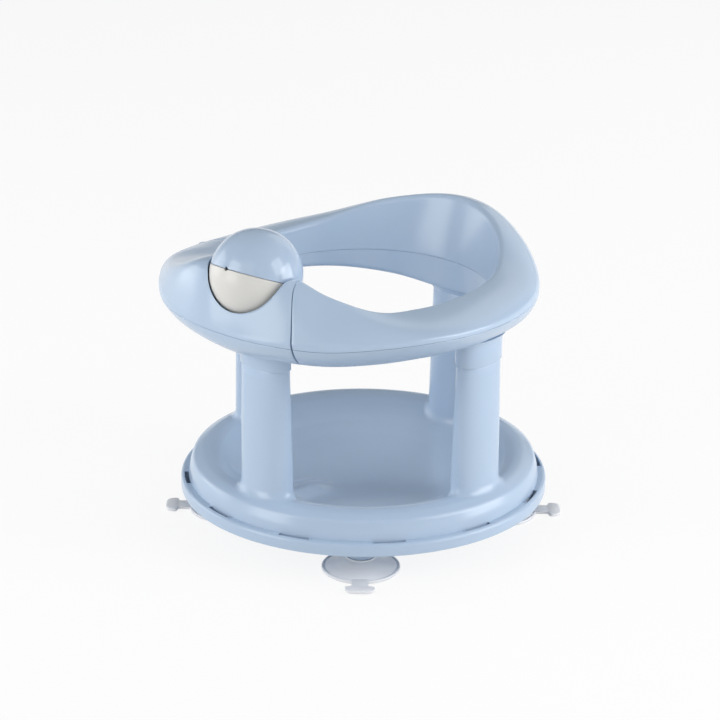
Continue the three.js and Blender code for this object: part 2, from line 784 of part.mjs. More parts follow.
function fixedUpper() {
  let body = cut(fixed.outer, fixed.hollow).intersect(fixed.upperRegion);
  body = upperBosses(body, fixed.outer, screw.ringAngles);
  body = cut(body, notch, knuckleRoom(knuckleLevels[1]));
  body = join(body, knuckle(knuckleLevels[2]));
  return cut(body, pinHole(knuckleLevels[1], pinTop + fitGap), groove);
}

// The vee-shaped gap at the gate's free end
function veeCut() {
  const low = station(ring.bottomHeight, gate.latchEnd) - ring.innerRound;
  const high = station(ring.crestHeight, gate.latchEnd) - ring.innerRound * 4;
  const rings = [ring.innerRadius / 2, tray.flangeRadius * 1.5].map((radius) => {
    const frame = (along, z) => new THREE.Vector3(radius, along, z)
      .applyAxisAngle(new THREE.Vector3(0, 0, 1), radians(gate.latchEnd));
    return [frame(overrun, low), frame(overrun, high), frame(0, high), frame(-gate.veeGap, low)];
  });
  return loft(rings);
}

function gateLower() {
  let body = cut(moving.outer, moving.hollow).intersect(moving.lowerRegion);
  body = addTowers(body, moving.hollow, [postAngles.front], true);
  body = lowerBosses(body, moving.outer, screw.gateAngles);
  body = cut(body, knuckleRoom(knuckleLevels[0]), knuckleRoom(knuckleLevels[2]));
  body = join(body, knuckle(knuckleLevels[1]));
  return cut(body, pinHole(hinge.bottom - overrun, knuckleLevels[2] + overrun), veeCut());
}

const ballCentre = polar(ball.centreRadius, frontAngle, ball.centreHeight);
const ballPlace = [ballCentre.x, ballCentre.y, ballCentre.z];

function barX(radius, from, to, sides = roundSides) {
  const geometry = new THREE.CylinderGeometry(radius, radius, to - from, sides);
  geometry.rotateZ(Math.PI / 2);
  geometry.translate((from + to) / 2 + ballCentre.x, ballCentre.y, ballCentre.z);
  return solid(geometry);
}

function gateUpper() {
  const pocketRadius = ball.radius + ball.pocketGap;
  const pocket = join(
    sphere(pocketRadius, ballPlace),
    cylinder(pocketRadius, ball.centreHeight, ball.centreHeight * 1.5, ballCentre.x, ballCentre.y, ball.sides),
  );
  const lining = sphere(pocketRadius + ball.pocketWall, ballPlace).intersect(moving.outer);
  let body = cut(moving.outer, moving.hollow).intersect(moving.upperRegion);
  body = upperBosses(body, moving.outer, screw.gateAngles);
  body = join(body, lining.intersect(moving.upperRegion));
  const bossStart = ball.radius;
  const bossEnd = ball.axleReach + ball.pocketWall / 2;
  const bosses = join(barX(ball.axleBoss, bossStart, bossEnd), barX(ball.axleBoss, -bossEnd, -bossStart));
  body = join(body, bosses.intersect(moving.outer));
  body = cut(body, pocket, barX(ball.axleRadius + fitGap, -ball.axleReach - fitGap, ball.axleReach + fitGap));
  body = cut(body, knuckleRoom(knuckleLevels[1]), knuckleRoom(knuckleLevels[2]), veeCut());
  return join(body, tongue);
}

add('ring_lower_shell', fixedLower(), finishes.shell);
add('ring_upper_shell', fixedUpper(), finishes.shell);
add('gate_lower_shell', gateLower(), finishes.shell);
add('gate_upper_shell', gateUpper(), finishes.shell);

// Hinge pin with its head below the bottom knuckle
function hingePin() {
  const headTop = hinge.bottom - fitGap;
  return join(
    cylinder(hinge.pinRadius, headTop - hinge.headHeight / 2, pinTop, hingePlace.x, hingePlace.y),
    cylinder(hinge.headRadius, headTop - hinge.headHeight, headTop, hingePlace.x, hingePlace.y),
  );
}
add('hinge_pin', hingePin(), finishes.steel);

// Screws that hold the shells together, driven from below
function shellScrew(angle) {
  const place = polar(screw.pitchRadius, angle);
  const headTop = screw.headSeat - fitGap;
  return join(
    cylinder(screw.headRadius, headTop - screw.headHeight, headTop, place.x, place.y, screwSides),
    cylinder(screw.shankRadius, headTop - screw.headHeight / 2, headTop + screw.length - fitGap, place.x, place.y,
      screwSides),
  );
}
screw.ringAngles.forEach((angle, i) => add(`ring_screw_${i + 1}`, shellScrew(angle), finishes.steel));
screw.gateAngles.forEach((angle, i) => add(`gate_screw_${i + 1}`, shellScrew(angle), finishes.steel));

// Screws that hold the ring's sockets down on the posts
for (const side of ['left', 'rear', 'right']) {
  const place = polar(postMiddle, postAngles[side]);
  const seat = webTop + fitGap;
  const body = join(
    cylinder(postScrew.headRadius, seat, seat + postScrew.headHeight, place.x, place.y, screwSides * 2),
    cylinder(postScrew.shankRadius, seat + postScrew.headHeight / 2 - postScrew.length, seat + postScrew.headHeight / 2,
      place.x, place.y, screwSides),
  );
  add(`post_screw_${side}`, body, finishes.steel);
}

// Ball: two half shells in two colours on a steel axle
function ballHalf(upper) {
  const shell = cut(sphere(ball.radius, origin), sphere(ball.radius - ball.wall, origin));
  const size = ball.radius * 2;
  const offset = (size / 2 + fitGap / 2) * (upper ? 1 : -1);
  const keep = solid(new THREE.BoxGeometry(size + overrun, size + overrun, size).translate(0, 0, offset));
  const sleeve = (x) => cylinderX(ball.axleRadius * 2, x - ball.wall, x + ball.wall);
  const reach = ball.radius - ball.wall * 2;
  let body = join(shell, sleeve(reach), sleeve(-reach)).intersect(keep).intersect(sphere(ball.radius, origin));
  body = cut(body, cylinderX(ball.axleRadius + fitGap, -size, size));
  const drain = new THREE.CylinderGeometry(ball.dotRadius, ball.dotRadius, ball.wall * 4, screwSides);
  body = cut(body, solid(drain.translate(0, -ball.radius, 0)));
  return body.rotate([-ball.splitTilt, 0, 0]).translate(ballPlace);
}

function cylinderX(radius, from, to) {
  const geometry = new THREE.CylinderGeometry(radius, radius, to - from, roundSides);
  geometry.rotateZ(Math.PI / 2);
  geometry.translate((from + to) / 2, 0, 0);
  return solid(geometry);
}
add('ball_upper_half', ballHalf(true), finishes.ballBlue);
add('ball_lower_half', ballHalf(false), finishes.ballWhite);
add('ball_axle', barX(ball.axleRadius, -ball.axleReach, ball.axleReach), finishes.steel);

// The footprint's middle lies a little in front of the swivel axis
const frontReach = ring.outerRadius[0];
group.position.y = (frontReach - tray.flangeRadius) / 2;

export default group;
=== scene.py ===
import math

import bmesh
import bpy
import numpy as np
from mathutils import Matrix, Vector


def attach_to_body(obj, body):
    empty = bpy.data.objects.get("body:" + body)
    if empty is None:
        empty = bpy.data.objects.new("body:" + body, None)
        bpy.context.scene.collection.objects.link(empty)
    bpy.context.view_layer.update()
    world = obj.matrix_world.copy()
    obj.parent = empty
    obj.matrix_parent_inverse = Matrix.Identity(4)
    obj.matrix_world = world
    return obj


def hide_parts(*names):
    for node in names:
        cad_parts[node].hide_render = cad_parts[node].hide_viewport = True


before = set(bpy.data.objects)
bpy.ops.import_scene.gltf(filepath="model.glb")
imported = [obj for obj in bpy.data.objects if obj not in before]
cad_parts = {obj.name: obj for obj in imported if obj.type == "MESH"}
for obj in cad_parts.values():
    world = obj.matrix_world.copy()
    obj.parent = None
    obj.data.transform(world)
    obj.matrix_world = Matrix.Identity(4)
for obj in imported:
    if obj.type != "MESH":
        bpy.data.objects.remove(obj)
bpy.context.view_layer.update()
bpy.context.scene.view_settings.view_transform = "Standard"
print("frame loaded:", len(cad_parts), "nodes")

# Sizes are in millimetres and angles in degrees; meshes are made in metres.
# The swivel axis lies a little behind the middle of the footprint.
axisY = 9
frontAngle = 270
postAngles = {"left": 0, "rear": 90, "right": 180, "front": 270}


# ---- camera, at the photograph's angle ----
cameraView = {"azimuth": 40.78, "elevation": 21.1, "distance": 2766, "lens": 141.875, "roll": 0.46,
              "target": (-3.2, 6.24, 159.4), "sensor": 36, "clipEnd": 50}


def directionOf(azimuth, elevation):
    turn, rise = math.radians(azimuth), math.radians(elevation)
    return Vector((math.sin(turn) * math.cos(rise), -math.cos(turn) * math.cos(rise), math.sin(rise)))


def placeCamera(view):
    data = bpy.data.cameras.new("camera")
    data.lens = view["lens"]
    data.sensor_width = view["sensor"]
    data.clip_end = view["clipEnd"]
    camera = bpy.data.objects.new("camera", data)
    bpy.context.scene.collection.objects.link(camera)
    back = directionOf(view["azimuth"], view["elevation"])
    camera.location = (Vector(view["target"]) + back * view["distance"]) / 1000
    rotation = back.to_track_quat("Z", "Y").to_matrix().to_4x4()
    rotation = rotation @ Matrix.Rotation(math.radians(view["roll"]), 4, "Z")
    camera.rotation_euler = rotation.to_euler()
    bpy.context.scene.camera = camera


placeCamera(cameraView)


# ---- shapes ----
roundLimit = 0.48  # the share of an edge that one rounded corner may take
mergeDistance = 1e-7


def atPolar(radius, angle, height):
    turn = np.radians(angle)
    radius = np.asarray(radius, float)
    return np.stack(np.broadcast_arrays(radius * np.cos(turn), radius * np.sin(turn) + axisY, height), -1)


# Corners are (a, b) or (a, b, reach): each is rounded off from reach before it to reach after it
def roundedPath(corners, closed=True, steps=6):
    path = []
    count = len(corners)
    for i, corner in enumerate(corners):
        here = np.array(corner[:2], float)
        reach = corner[2] if len(corner) > 2 else 0
        if reach == 0 or (not closed and i in (0, count - 1)):
            path.append(here)
            continue
        before = np.array(corners[i - 1][:2], float) - here
        after = np.array(corners[(i + 1) % count][:2], float) - here
        longBefore, longAfter = np.linalg.norm(before), np.linalg.norm(after)
        start = here + before / longBefore * min(reach, longBefore * roundLimit)
        end = here + after / longAfter * min(reach, longAfter * roundLimit)
        for k in range(steps + 1):
            t = k / steps
            path.append((1 - t) ** 2 * start + 2 * t * (1 - t) * here + t * t * end)
    return np.array(path)


# The angles of evenly spaced points round a circle
def fullTurn(count):
    return np.linspace(0, 2 * np.pi, count, endpoint=False)


# How far along a line of points each of them is
def runOf(line):
    return np.concatenate([[0], np.cumsum(np.linalg.norm(np.diff(line, axis=0), axis=1))])


def interpolated(at, known, points):
    return np.stack([np.interp(at, known, points[:, i]) for i in range(points.shape[1])], 1)


# A heavier middle point draws the curve into its corner
def bezier(start, middle, end, count, weight=1):
    t = np.linspace(0, 1, count, endpoint=False)[:, None]
    first, second, third = (1 - t) ** 2, 2 * t * (1 - t) * weight, t * t
    curve = first * np.array(start) + second * np.array(middle) + third * np.array(end)
    return curve / (first + second + third)


# The same open path with evenly spaced points and its corners softened over a width, worked out on
# a path three times as fine with mirrored ends
def softened(path, count, width):
    path = np.asarray(path, float)
    run = runOf(path)
    even = np.linspace(0, run[-1], count * 3)
    fine = interpolated(even, run, path)
    spread = width / (even[1] - even[0])
    reach = int(3 * spread) + 1
    weights = np.exp(-0.5 * (np.arange(-reach, reach + 1) / spread) ** 2)
    weights /= weights.sum()
    low = 2 * fine[0] - fine[reach:0:-1]
    high = 2 * fine[-1] - fine[-2:-reach - 2:-1]
    padded = np.vstack([low, fine, high])
    soft = np.stack([np.convolve(padded[:, i], weights, "valid") for i in range(path.shape[1])], 1)
    return interpolated(np.linspace(0, len(soft) - 1, count), np.arange(len(soft)), soft)


# Moves a closed loop of points inwards by a distance
def inset(loop, distance):
    ahead, behind = np.roll(loop, -1, 0), np.roll(loop, 1, 0)
    tangent = ahead - behind
    tangent /= np.linalg.norm(tangent, axis=1)[:, None] + 1e-9
    area = np.sum(loop[:, 0] * ahead[:, 1] - ahead[:, 0] * loop[:, 1])
    normal = np.stack([-tangent[:, 1], tangent[:, 0]], 1) * (1 if area > 0 else -1)
    return loop + normal * distance


# A skin over rings of points, with flat caps unless the rings wrap round
def skin(rings, wraps=False, caps=True):
    rings = np.array(rings, float)
    rows, columns = rings.shape[:2]
    faces = []
    for i in range(rows if wraps else rows - 1):
        low, high = i * columns, (i + 1) % rows * columns
        for j in range(columns):
            k = (j + 1) % columns
            faces.append((low + j, low + k, high + k, high + j))
    if not wraps and caps:
        faces.append(tuple(range(columns - 1, -1, -1)))
        faces.append(tuple(range((rows - 1) * columns, rows * columns)))
    return rings.reshape(-1, 3), faces


# A profile of (radius, height) turned about a vertical axis; its ends lie on the axis
def turned(profile, sides, place=(0, 0, 0)):
    profile = np.array([p[:2] for p in profile], float)
    turn = fullTurn(sides)
    body = profile[1:-1]
    rings = np.stack([np.outer(body[:, 0], np.cos(turn)), np.outer(body[:, 0], np.sin(turn)),
                      np.repeat(body[:, 1:2], sides, 1)], -1)
    points, faces = skin(rings, caps=False)
    low, high, last = len(points), len(points) + 1, (len(body) - 1) * sides
    points = np.vstack([points, [0, 0, profile[0, 1]], [0, 0, profile[-1, 1]]])
    for j in range(sides):
        k = (j + 1) % sides
        faces.append((low, k, j))
        faces.append((high, last + j, last + k))
    return points + np.array(place, float), faces


# A closed profile of (radius, height) turned about a vertical axis it doesn't touch
def hoop(profile, sides, place=(0, 0, 0)):
    profile = np.asarray(profile, float)
    rings = [np.column_stack([profile[:, 0] * math.cos(t), profile[:, 0] * math.sin(t), profile[:, 1]])
             for t in fullTurn(sides)]
    points, faces = skin(rings, wraps=True)
    return points + np.array(place, float), faces


def cylinder(radius, low, high, place=(0, 0), sides=48):
    return turned([(0, low), (radius, low), (radius, high), (0, high)], sides, (place[0], place[1], 0))


# A round bar along x through a point
def bar(radius, start, end, place, sides=32):
    points, faces = cylinder(radius, start, end, sides=sides)
    return points[:, [2, 1, 0]] * [1, -1, 1] + np.array(place, float), faces


# A block in the frame of an angle: out runs away from the axis, along runs with the angle
def block(angle, out, along, up):
    turn = math.radians(angle)
    outwards = np.array([math.cos(turn), math.sin(turn), 0])
    sideways = np.array([-math.sin(turn), math.cos(turn), 0])
    rings = []
    for z in up:
        corners = [(out[0], along[0]), (out[1], along[0]), (out[1], along[1]), (out[0], along[1])]
        rings.append([outwards * a + sideways * b + [0, axisY, z] for a, b in corners])
    return skin(rings)


def sector(inner, outer, low, high, start, end, parts=6):
    section = np.array([(inner, low), (outer, low), (outer, high), (inner, high)], float)
    return skin([atPolar(section[:, 0], angle, section[:, 1]) for angle in np.linspace(start, end, parts)])


# Joins shapes given as (points, faces) into one
def gather(*shapes):
    points, faces, start = [], [], 0
    for shapePoints, shapeFaces in shapes:
        points.append(shapePoints)
        faces += [tuple(i + start for i in face) for face in shapeFaces]
        start += len(shapePoints)
    return np.vstack(points), faces


def makeObject(name, shape):
    points, faces = shape
    mesh = bpy.data.meshes.new(name)
    mesh.from_pydata((np.asarray(points) / 1000).tolist(), [], faces)
    work = bmesh.new()
    work.from_mesh(mesh)
    bmesh.ops.remove_doubles(work, verts=work.verts, dist=mergeDistance)
    bmesh.ops.dissolve_degenerate(work, edges=work.edges, dist=mergeDistance)
    bmesh.ops.recalc_face_normals(work, faces=work.faces)
    work.to_mesh(mesh)
    work.free()
    piece = bpy.data.objects.new(name, mesh)
    bpy.context.scene.collection.objects.link(piece)
    return piece


# Cuts shapes out of a piece, then adds other shapes to it, one at a time. A step that would take away
# more than half of the points has gone wrong, so it is left out and printed
def carve(piece, removed=(), joined=()):
    for kind, shapes in (("DIFFERENCE", removed), ("UNION", joined)):
        for shape in shapes:
            tool = makeObject("tool", shape)
            step = piece.modifiers.new(kind, "BOOLEAN")
            step.operation = kind
            step.solver = "EXACT"
            step.object = tool
            bpy.context.view_layer.update()
            graph = bpy.context.evaluated_depsgraph_get()
            mesh = bpy.data.meshes.new_from_object(piece.evaluated_get(graph))
            piece.modifiers.clear()
            bpy.data.objects.remove(tool)
            if len(mesh.vertices) < len(piece.data.vertices) / 2:
                print("left out a cut of", piece.name)
                bpy.data.meshes.remove(mesh)
                continue
            old = piece.data
            piece.data = mesh
            bpy.data.meshes.remove(old)
            mesh.name = piece.name
    return piece


# Adds a shape to a piece's mesh as it is, where it runs into the piece
def attach(piece, shape):
    extra = makeObject("extra", shape)
    work = bmesh.new()
    work.from_mesh(piece.data)
    work.from_mesh(extra.data)
    work.to_mesh(piece.data)
    work.free()
    bpy.data.objects.remove(extra)


# Gives a piece its material, body and slot, and says which nodes it replaces
def complete(piece, body, slot, replaced, sharp=32):
    mesh = piece.data
    mesh.materials.clear()
    mesh.materials.append(materials[slot])
    mesh.polygons.foreach_set("material_index", [0] * len(mesh.polygons))
    mesh.shade_smooth()
    mesh.set_sharp_from_angle(angle=math.radians(sharp))
    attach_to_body(piece, body)
    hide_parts(*replaced)


# ---- materials ----
looks = {
    "shell": {"colour": (0.43, 0.545, 0.695), "toneChange": 0.04, "gloss": 0.21, "glossChange": 0.04,
              "skinHeight": 0.00002},
    "ballBlue": {"colour": (0.43, 0.54, 0.69), "toneChange": 0.03, "gloss": 0.13, "glossChange": 0.03,
                 "skinHeight": 0.00001},
    "ballWhite": {"colour": (0.68, 0.672, 0.64), "toneChange": 0.03, "gloss": 0.3, "glossChange": 0.05,
                  "skinHeight": 0.00001},
    "vinyl": {"colour": (0.85, 0.865, 0.90), "toneChange": 0.03, "gloss": 0.3, "glossChange": 0.06,
              "skinHeight": 0.00002, "clear": 0.06, "ior": 1.45},
    "steel": {"colour": (0.55, 0.56, 0.57), "toneChange": 0.1, "gloss": 0.32, "glossChange": 0.15,
              "skinHeight": 0.00001, "metal": 1},
}


# Scale and detail of each noise of the skin
skinNoise = {"slow": (9, 2), "flow": (45, 3), "grain": (900, 2), "bumpStrength": 0.35}


# Moulded plastic: slow changes of tone, faint flow marks in the gloss and a fine skin
def mouldedSkinGroup():
    group = bpy.data.node_groups.new("mouldedSkin", "ShaderNodeTree")
    sockets = [("Colour", "INPUT", "Color"), ("Tone Change", "INPUT", "Float"), ("Gloss", "INPUT", "Float"),
               ("Gloss Change", "INPUT", "Float"), ("Skin Height", "INPUT", "Float"),
               ("Colour", "OUTPUT", "Color"), ("Roughness", "OUTPUT", "Float"), ("Normal", "OUTPUT", "Vector")]
    for name, way, kind in sockets:
        group.interface.new_socket(name=name, in_out=way, socket_type="NodeSocket" + kind)
    nodes, links = group.nodes, group.links
    given, put = nodes.new("NodeGroupInput"), nodes.new("NodeGroupOutput")
    place = nodes.new("ShaderNodeTexCoord")

    def noise(kind):
        node = nodes.new("ShaderNodeTexNoise")
        node.inputs["Scale"].default_value, node.inputs["Detail"].default_value = skinNoise[kind]
        links.new(place.outputs["Object"], node.inputs["Vector"])
        return node.outputs["Fac"]

    def maths(operation, first, second):
        node = nodes.new("ShaderNodeMath")
        node.operation = operation
        for socket, value in zip(node.inputs, (first, second)):
            if isinstance(value, (int, float)):
                socket.default_value = value
            else:
                links.new(value, socket)
        return node.outputs[0]

    slow = maths("SUBTRACT", noise("slow"), 0.5)
    tone = nodes.new("ShaderNodeHueSaturation")
    links.new(given.outputs["Colour"], tone.inputs["Color"])
    links.new(maths("ADD", maths("MULTIPLY", slow, given.outputs["Tone Change"]), 1), tone.inputs["Value"])
    links.new(tone.outputs["Color"], put.inputs["Colour"])
    flow = maths("SUBTRACT", noise("flow"), 0.5)
    gloss = maths("ADD", maths("MULTIPLY", flow, given.outputs["Gloss Change"]), given.outputs["Gloss"])
    links.new(gloss, put.inputs["Roughness"])
    bump = nodes.new("ShaderNodeBump")
    bump.inputs["Strength"].default_value = skinNoise["bumpStrength"]
    links.new(given.outputs["Skin Height"], bump.inputs["Distance"])
    links.new(noise("grain"), bump.inputs["Height"])
    links.new(bump.outputs["Normal"], put.inputs["Normal"])
    return group


def mouldedMaterial(name, look, group):
    material = bpy.data.materials.new(name)
    material.use_nodes = True
    nodes, links = material.node_tree.nodes, material.node_tree.links
    shader = nodes["Principled BSDF"]
    surface = nodes.new("ShaderNodeGroup")
    surface.node_tree = group
    surface.inputs["Colour"].default_value = (*look["colour"], 1)
    for name, value in (("Tone Change", "toneChange"), ("Gloss", "gloss"), ("Gloss Change", "glossChange"),
                        ("Skin Height", "skinHeight")):
        surface.inputs[name].default_value = look[value]
    for given, wanted in (("Colour", "Base Color"), ("Roughness", "Roughness"), ("Normal", "Normal")):
        links.new(surface.outputs[given], shader.inputs[wanted])
    shader.inputs["IOR"].default_value = look.get("ior", 1.5)
    shader.inputs["Transmission Weight"].default_value = look.get("clear", 0)
    shader.inputs["Metallic"].default_value = look.get("metal", 0)
    material.diffuse_color = (*look["colour"], 1)
    return material


skinGroup = mouldedSkinGroup()
looksOf = {"shell": "shell", "ball_blue": "ballBlue", "ball_white": "ballWhite", "cup": "vinyl",
           "steel": "steel"}
materials = {slot: mouldedMaterial(name, looks[name], skinGroup) for slot, name in looksOf.items()}
print("materials made")


# ---- posts' outlines, shared by the tray and the ring ----
post = {"middleRadius": 141.5, "footRadius": 140, "top": 195, "topDepth": 28, "topWidth": 54.4, "footDepth": 35,
        "footWidth": 57.6, "filletHeight": 9, "filletReach": 6, "filletSink": 2.2,
        "rimTop": 67.5, "squareShare": 0.92, "points": 72, "topEdge": 0.6}


# A rounded oblong in plan, as offsets out from its middle and along the ring
def oblong(depth, width):
    turn = fullTurn(post["points"])
    share = post["squareShare"]
    out = depth / 2 * np.sign(np.cos(turn)) * np.abs(np.cos(turn)) ** share
    along = width / 2 * np.sign(np.sin(turn)) * np.abs(np.sin(turn)) ** share
    return out, along


def inPlan(angle, out, along, height):
    turn = math.radians(angle)
    x = out * math.cos(turn) - along * math.sin(turn)
    y = out * math.sin(turn) + along * math.cos(turn) + axisY
    return np.stack(np.broadcast_arrays(x, y, height), -1)


# ---- ring and gate ----
ring = {
    "angles": [0, 15, 30, 45, 60, 90, 120, 150, 180],
    "crestRadius": [152, 153, 159, 155, 137.5, 126, 128, 135, 142],
    "crestHeight": [297, 300, 281, 266.5, 260.5, 260, 264, 282, 292],
    "outerRadius": [198, 201, 201, 198, 194, 175, 169, 165, 169],
    "partingHeight": [241, 242, 242, 245, 247, 242, 240, 239, 239],
    "bilgeRadius": [189, 188, 186, 179, 172, 163, 162, 159, 159],
    "bottomHeight": [210, 212, 213, 215, 217, 218, 214, 206, 198],
    "shoulderLean": [18, 15, 16, 8, 12, 10, 4, -3, -11],
    "fullness": [0.5, 0.75, 0.68, 0.9, 0.92, 0.92, 0.9, 0.9, 0.9],
    "wallHeight": [3, 5, 6, 5, 4.5, 5, 8, 9.7, 9.7],
    "innerRadius": 122.6, "innerParting": 231.6, "innerRound": 5, "keelRadius": 140,
    "crestWidth": 3, "crestTuck": 2, "crestDrop": 3, "innerClear": 3, "innerRise": 12, "lowerTuck": 0.3,
    "partingGap": 0.3, "edge": 0.5, "endEdge": 0.3, "step": 1.5, "soft": 1.0,
    "startClear": 1, "endClear": 1.4, "upperPoints": 76, "lowerPoints": 60,
}
# Beside the ball the shoulder rises to a firmer corner: its share, lean and fullness by angle
corner = {"angles": [200, 215, 264, 280, 287, 300], "share": [0, 1, 1, 1, 1, 0], "lean": [9, 9, 9, 29, 29, 29],
          "full": [0.96, 0.96, 0.96, 1, 1, 1], "weight": 3.5}
gate = {"latchEnd": 291.3, "hingeEnd": 193.5, "endGap": 0.6, "veeGap": 1.8, "veeTopDrop": 20, "veeLowDrop": 5,
        "tongueRise": 244, "tongueHeight": 4, "tongueRadius": 148, "tongueWidth": 24, "tongueLength": 3,
        "grooveInside": 1, "grooveOutside": 5, "grooveGap": 0.5, "grooveLength": 1.5,
        "notchReach": 270, "notchSide": 2, "notchLevels": (190, 290),
        "seamHeights": [212, 242, 258, 275, 292], "seamTurns": [1.0, 0.5, -0.4, -1.6, -3.0], "seamReach": 14}
# A socket's levels as (height above its low end, growth): up its hollow end, then round its rim
socket = {"lip": 1.3, "low": 195.3, "high": 222, "flare": 2.6, "shift": 0.9, "steps": 8,
          "hollow": [(3.3, -1.7), (0.3, -1.7), (0, -1.4)], "rim": [(0, -0.5), (0.15, -0.15), (0.5, 0)]}


# A value of the ring at an angle, read smoothly from its table by the angle away from the front
def station(name, angle):
    values, at = ring[name], ring["angles"]
    away = abs((angle - frontAngle + 540) % 360 - 180)
    i = 0
    while i < len(at) - 2 and away > at[i + 1]:
        i += 1

    def slope(k):
        if k in (0, len(at) - 1):
            return 0
        return (values[k + 1] - values[k - 1]) / (at[k + 1] - at[k - 1])

    span = at[i + 1] - at[i]
    t = (away - at[i]) / span
    return ((2 * t ** 3 - 3 * t ** 2 + 1) * values[i] + (t ** 3 - 2 * t ** 2 + t) * span * slope(i)
            + (3 * t ** 2 - 2 * t ** 3) * values[i + 1] + (t ** 3 - t ** 2) * span * slope(i + 1))


# Half of the ring's section at an angle, as (radius, height), closed along the parting surface
def shellLoop(angle, upper):
    crestR, crestZ = station("crestRadius", angle), station("crestHeight", angle)
    outerR, partZ = station("outerRadius", angle), station("partingHeight", angle)
    bilgeR, bottomZ = station("bilgeRadius", angle), station("bottomHeight", angle)
    share, cornerLean, cornerFull = [np.interp(angle % 360, corner["angles"], corner[name])
                                     for name in ("share", "lean", "full")]
    share = share * share * (3 - 2 * share)
    lean = station("shoulderLean", angle) * (1 - share) + cornerLean * share
    fullness = station("fullness", angle) * (1 - share) + cornerFull * share
    innerR, innerZ, edge = ring["innerRadius"], ring["innerParting"], ring["edge"]
    gap = ring["partingGap"] / 2 * (1 if upper else -1)
    across = np.array([outerR - innerR, partZ - innerZ])
    across /= np.linalg.norm(across)
    outerCorner, innerCorner = np.array([outerR, partZ + gap]), np.array([innerR, innerZ + gap])
    if upper:
        wallTop = partZ + station("wallHeight", angle)
        full = wallTop + fullness * (crestZ - wallTop)
        crestIn = [max(crestR, innerR + ring["innerClear"]) - ring["crestTuck"], crestZ - ring["crestDrop"]]
        crestOut = [crestR + ring["crestWidth"], crestZ]
        path = np.vstack([
            [outerCorner + [0, edge]],
            bezier([outerR, wallTop], [outerR - lean, full], crestOut, 40, 1 + (corner["weight"] - 1) * share),
            bezier(crestOut, [crestR, crestZ], crestIn, 8),
            bezier(crestIn, [innerR + ring["innerClear"], innerZ + ring["innerRise"]],
                   innerCorner + [0, edge], 24),
            [innerCorner + [0, edge]]])
        path = softened(path, ring["upperPoints"], ring["soft"])
        ends = [bezier(outerCorner - across * edge, outerCorner, outerCorner + [0, edge], 4), path,
                bezier(innerCorner + [0, edge], innerCorner, innerCorner + across * edge, 4)[1:],
                [innerCorner + across * edge]]
    else:
        foot, side, keel = bottomZ + ring["innerRound"], innerR + ring["innerRound"] * 2, ring["keelRadius"]
        outerCorner = outerCorner - [ring["lowerTuck"], 0]
        path = np.vstack([
            [innerCorner - [0, edge]],
            bezier([innerR, foot], [innerR, bottomZ], [side, bottomZ], 10),
            bezier([side, bottomZ], [keel, bottomZ], [keel, bottomZ], 3),
            bezier([keel, bottomZ], [bilgeR, bottomZ], outerCorner - [0, edge], 34),
            [outerCorner - [0, edge]]])
        path = softened(path, ring["lowerPoints"], ring["soft"])
        ends = [bezier(innerCorner + across * edge, innerCorner, innerCorner - [0, edge], 4), path,
                bezier(outerCorner - [0, edge], outerCorner, outerCorner - across * edge, 4)[1:],
                [outerCorner - across * edge]]
    loop = np.vstack(ends)
    t = np.linspace(0, 1, 9)[1:-1, None]
    return np.vstack([loop, loop[-1] + (loop[0] - loop[-1]) * t])


# The seam at the gate's free end runs askew: degrees by height, fading out along the ring
def seamTurn(angle, height):
    shift = np.interp(height, gate["seamHeights"], gate["seamTurns"])
    return shift * max(0, 1 - abs(angle - gate["latchEnd"]) / gate["seamReach"])


# The gate's free end leans away from the ring towards the bottom
def latchLean(points):
    top = station("crestHeight", gate["latchEnd"]) - gate["veeTopDrop"]
    low = station("bottomHeight", gate["latchEnd"]) - gate["veeLowDrop"]
    return gate["veeGap"] * np.clip((top - points[:, 1]) / (top - low), 0, 1)


# A shell of the ring from one angle to another, with both ends rounded and one of them leaning if asked
def ringShell(name, start, end, upper, endLean=None):
    edge = ring["endEdge"]

    def roundedEnd(angle, way, lean):
        loop = shellLoop(angle, upper)
        found = []
        for bend in np.radians([0, 30, 60, 90]):
            away, inwards = edge * (1 - math.cos(bend)), edge * (1 - math.sin(bend))
            rounded = inset(loop, inwards)
            away = away + (lean(rounded) if lean else 0)
            turn = way * np.degrees(away / rounded[:, 0]) + seamTurn(angle, rounded[:, 1])
            found.append(atPolar(rounded[:, 0], angle + turn, rounded[:, 1]))
        return found

    rings = roundedEnd(start, 1, None)
    angle = (math.floor(start / ring["step"]) + 1) * ring["step"]
    while angle < start + ring["startClear"]:
        angle += ring["step"]
    while angle < end - ring["endClear"]:
        loop = shellLoop(angle, upper)
        rings.append(atPolar(loop[:, 0], angle + seamTurn(angle, loop[:, 1]), loop[:, 1]))
        angle += ring["step"]
    rings += roundedEnd(end, -1, endLean)[::-1]
    return makeObject(name, skin(rings))


# A socket of the ring over a post, open below where nothing but the post's flat top stands under it
def tower(angle, hollow):
    low, high, lip = socket["low"], socket["high"], socket["lip"]
    levels = [(low + rise, grow, 0) for rise, grow in socket["hollow"]] if hollow else []
    levels += [(low + rise, lip + grow, 0) for rise, grow in socket["rim"]]
    for t in np.arange(socket["steps"] + 1) / socket["steps"]:
        spread = t ** 4
        level = low + (high - low) * (0.5 + t / 2)
        levels.append((level, lip + socket["flare"] * spread, socket["shift"] * spread))
    rings = []
    for height, grow, shift in levels:
        out, along = oblong(post["topDepth"] + grow * 2, post["topWidth"] + grow * 2)
        rings.append(inPlan(angle, out + post["middleRadius"] + shift, along, height))
    return skin(rings)


screw = {"ringAngles": [303, 335, 25, 65, 115, 155], "gateAngles": [212, 243, 285], "pitchRadius": 146,
         "wellRadius": 3.7, "mouthRadius": 6.2, "mouthTop": 1.4, "headSeat": 228, "headRadius": 3.4,
         "headHeight": 2.4, "seatGap": 0.3, "shankRadius": 1.5, "length": 16.7, "slitLength": 1.9,
         "slitWidth": 0.35, "slitDepth": 1.2}


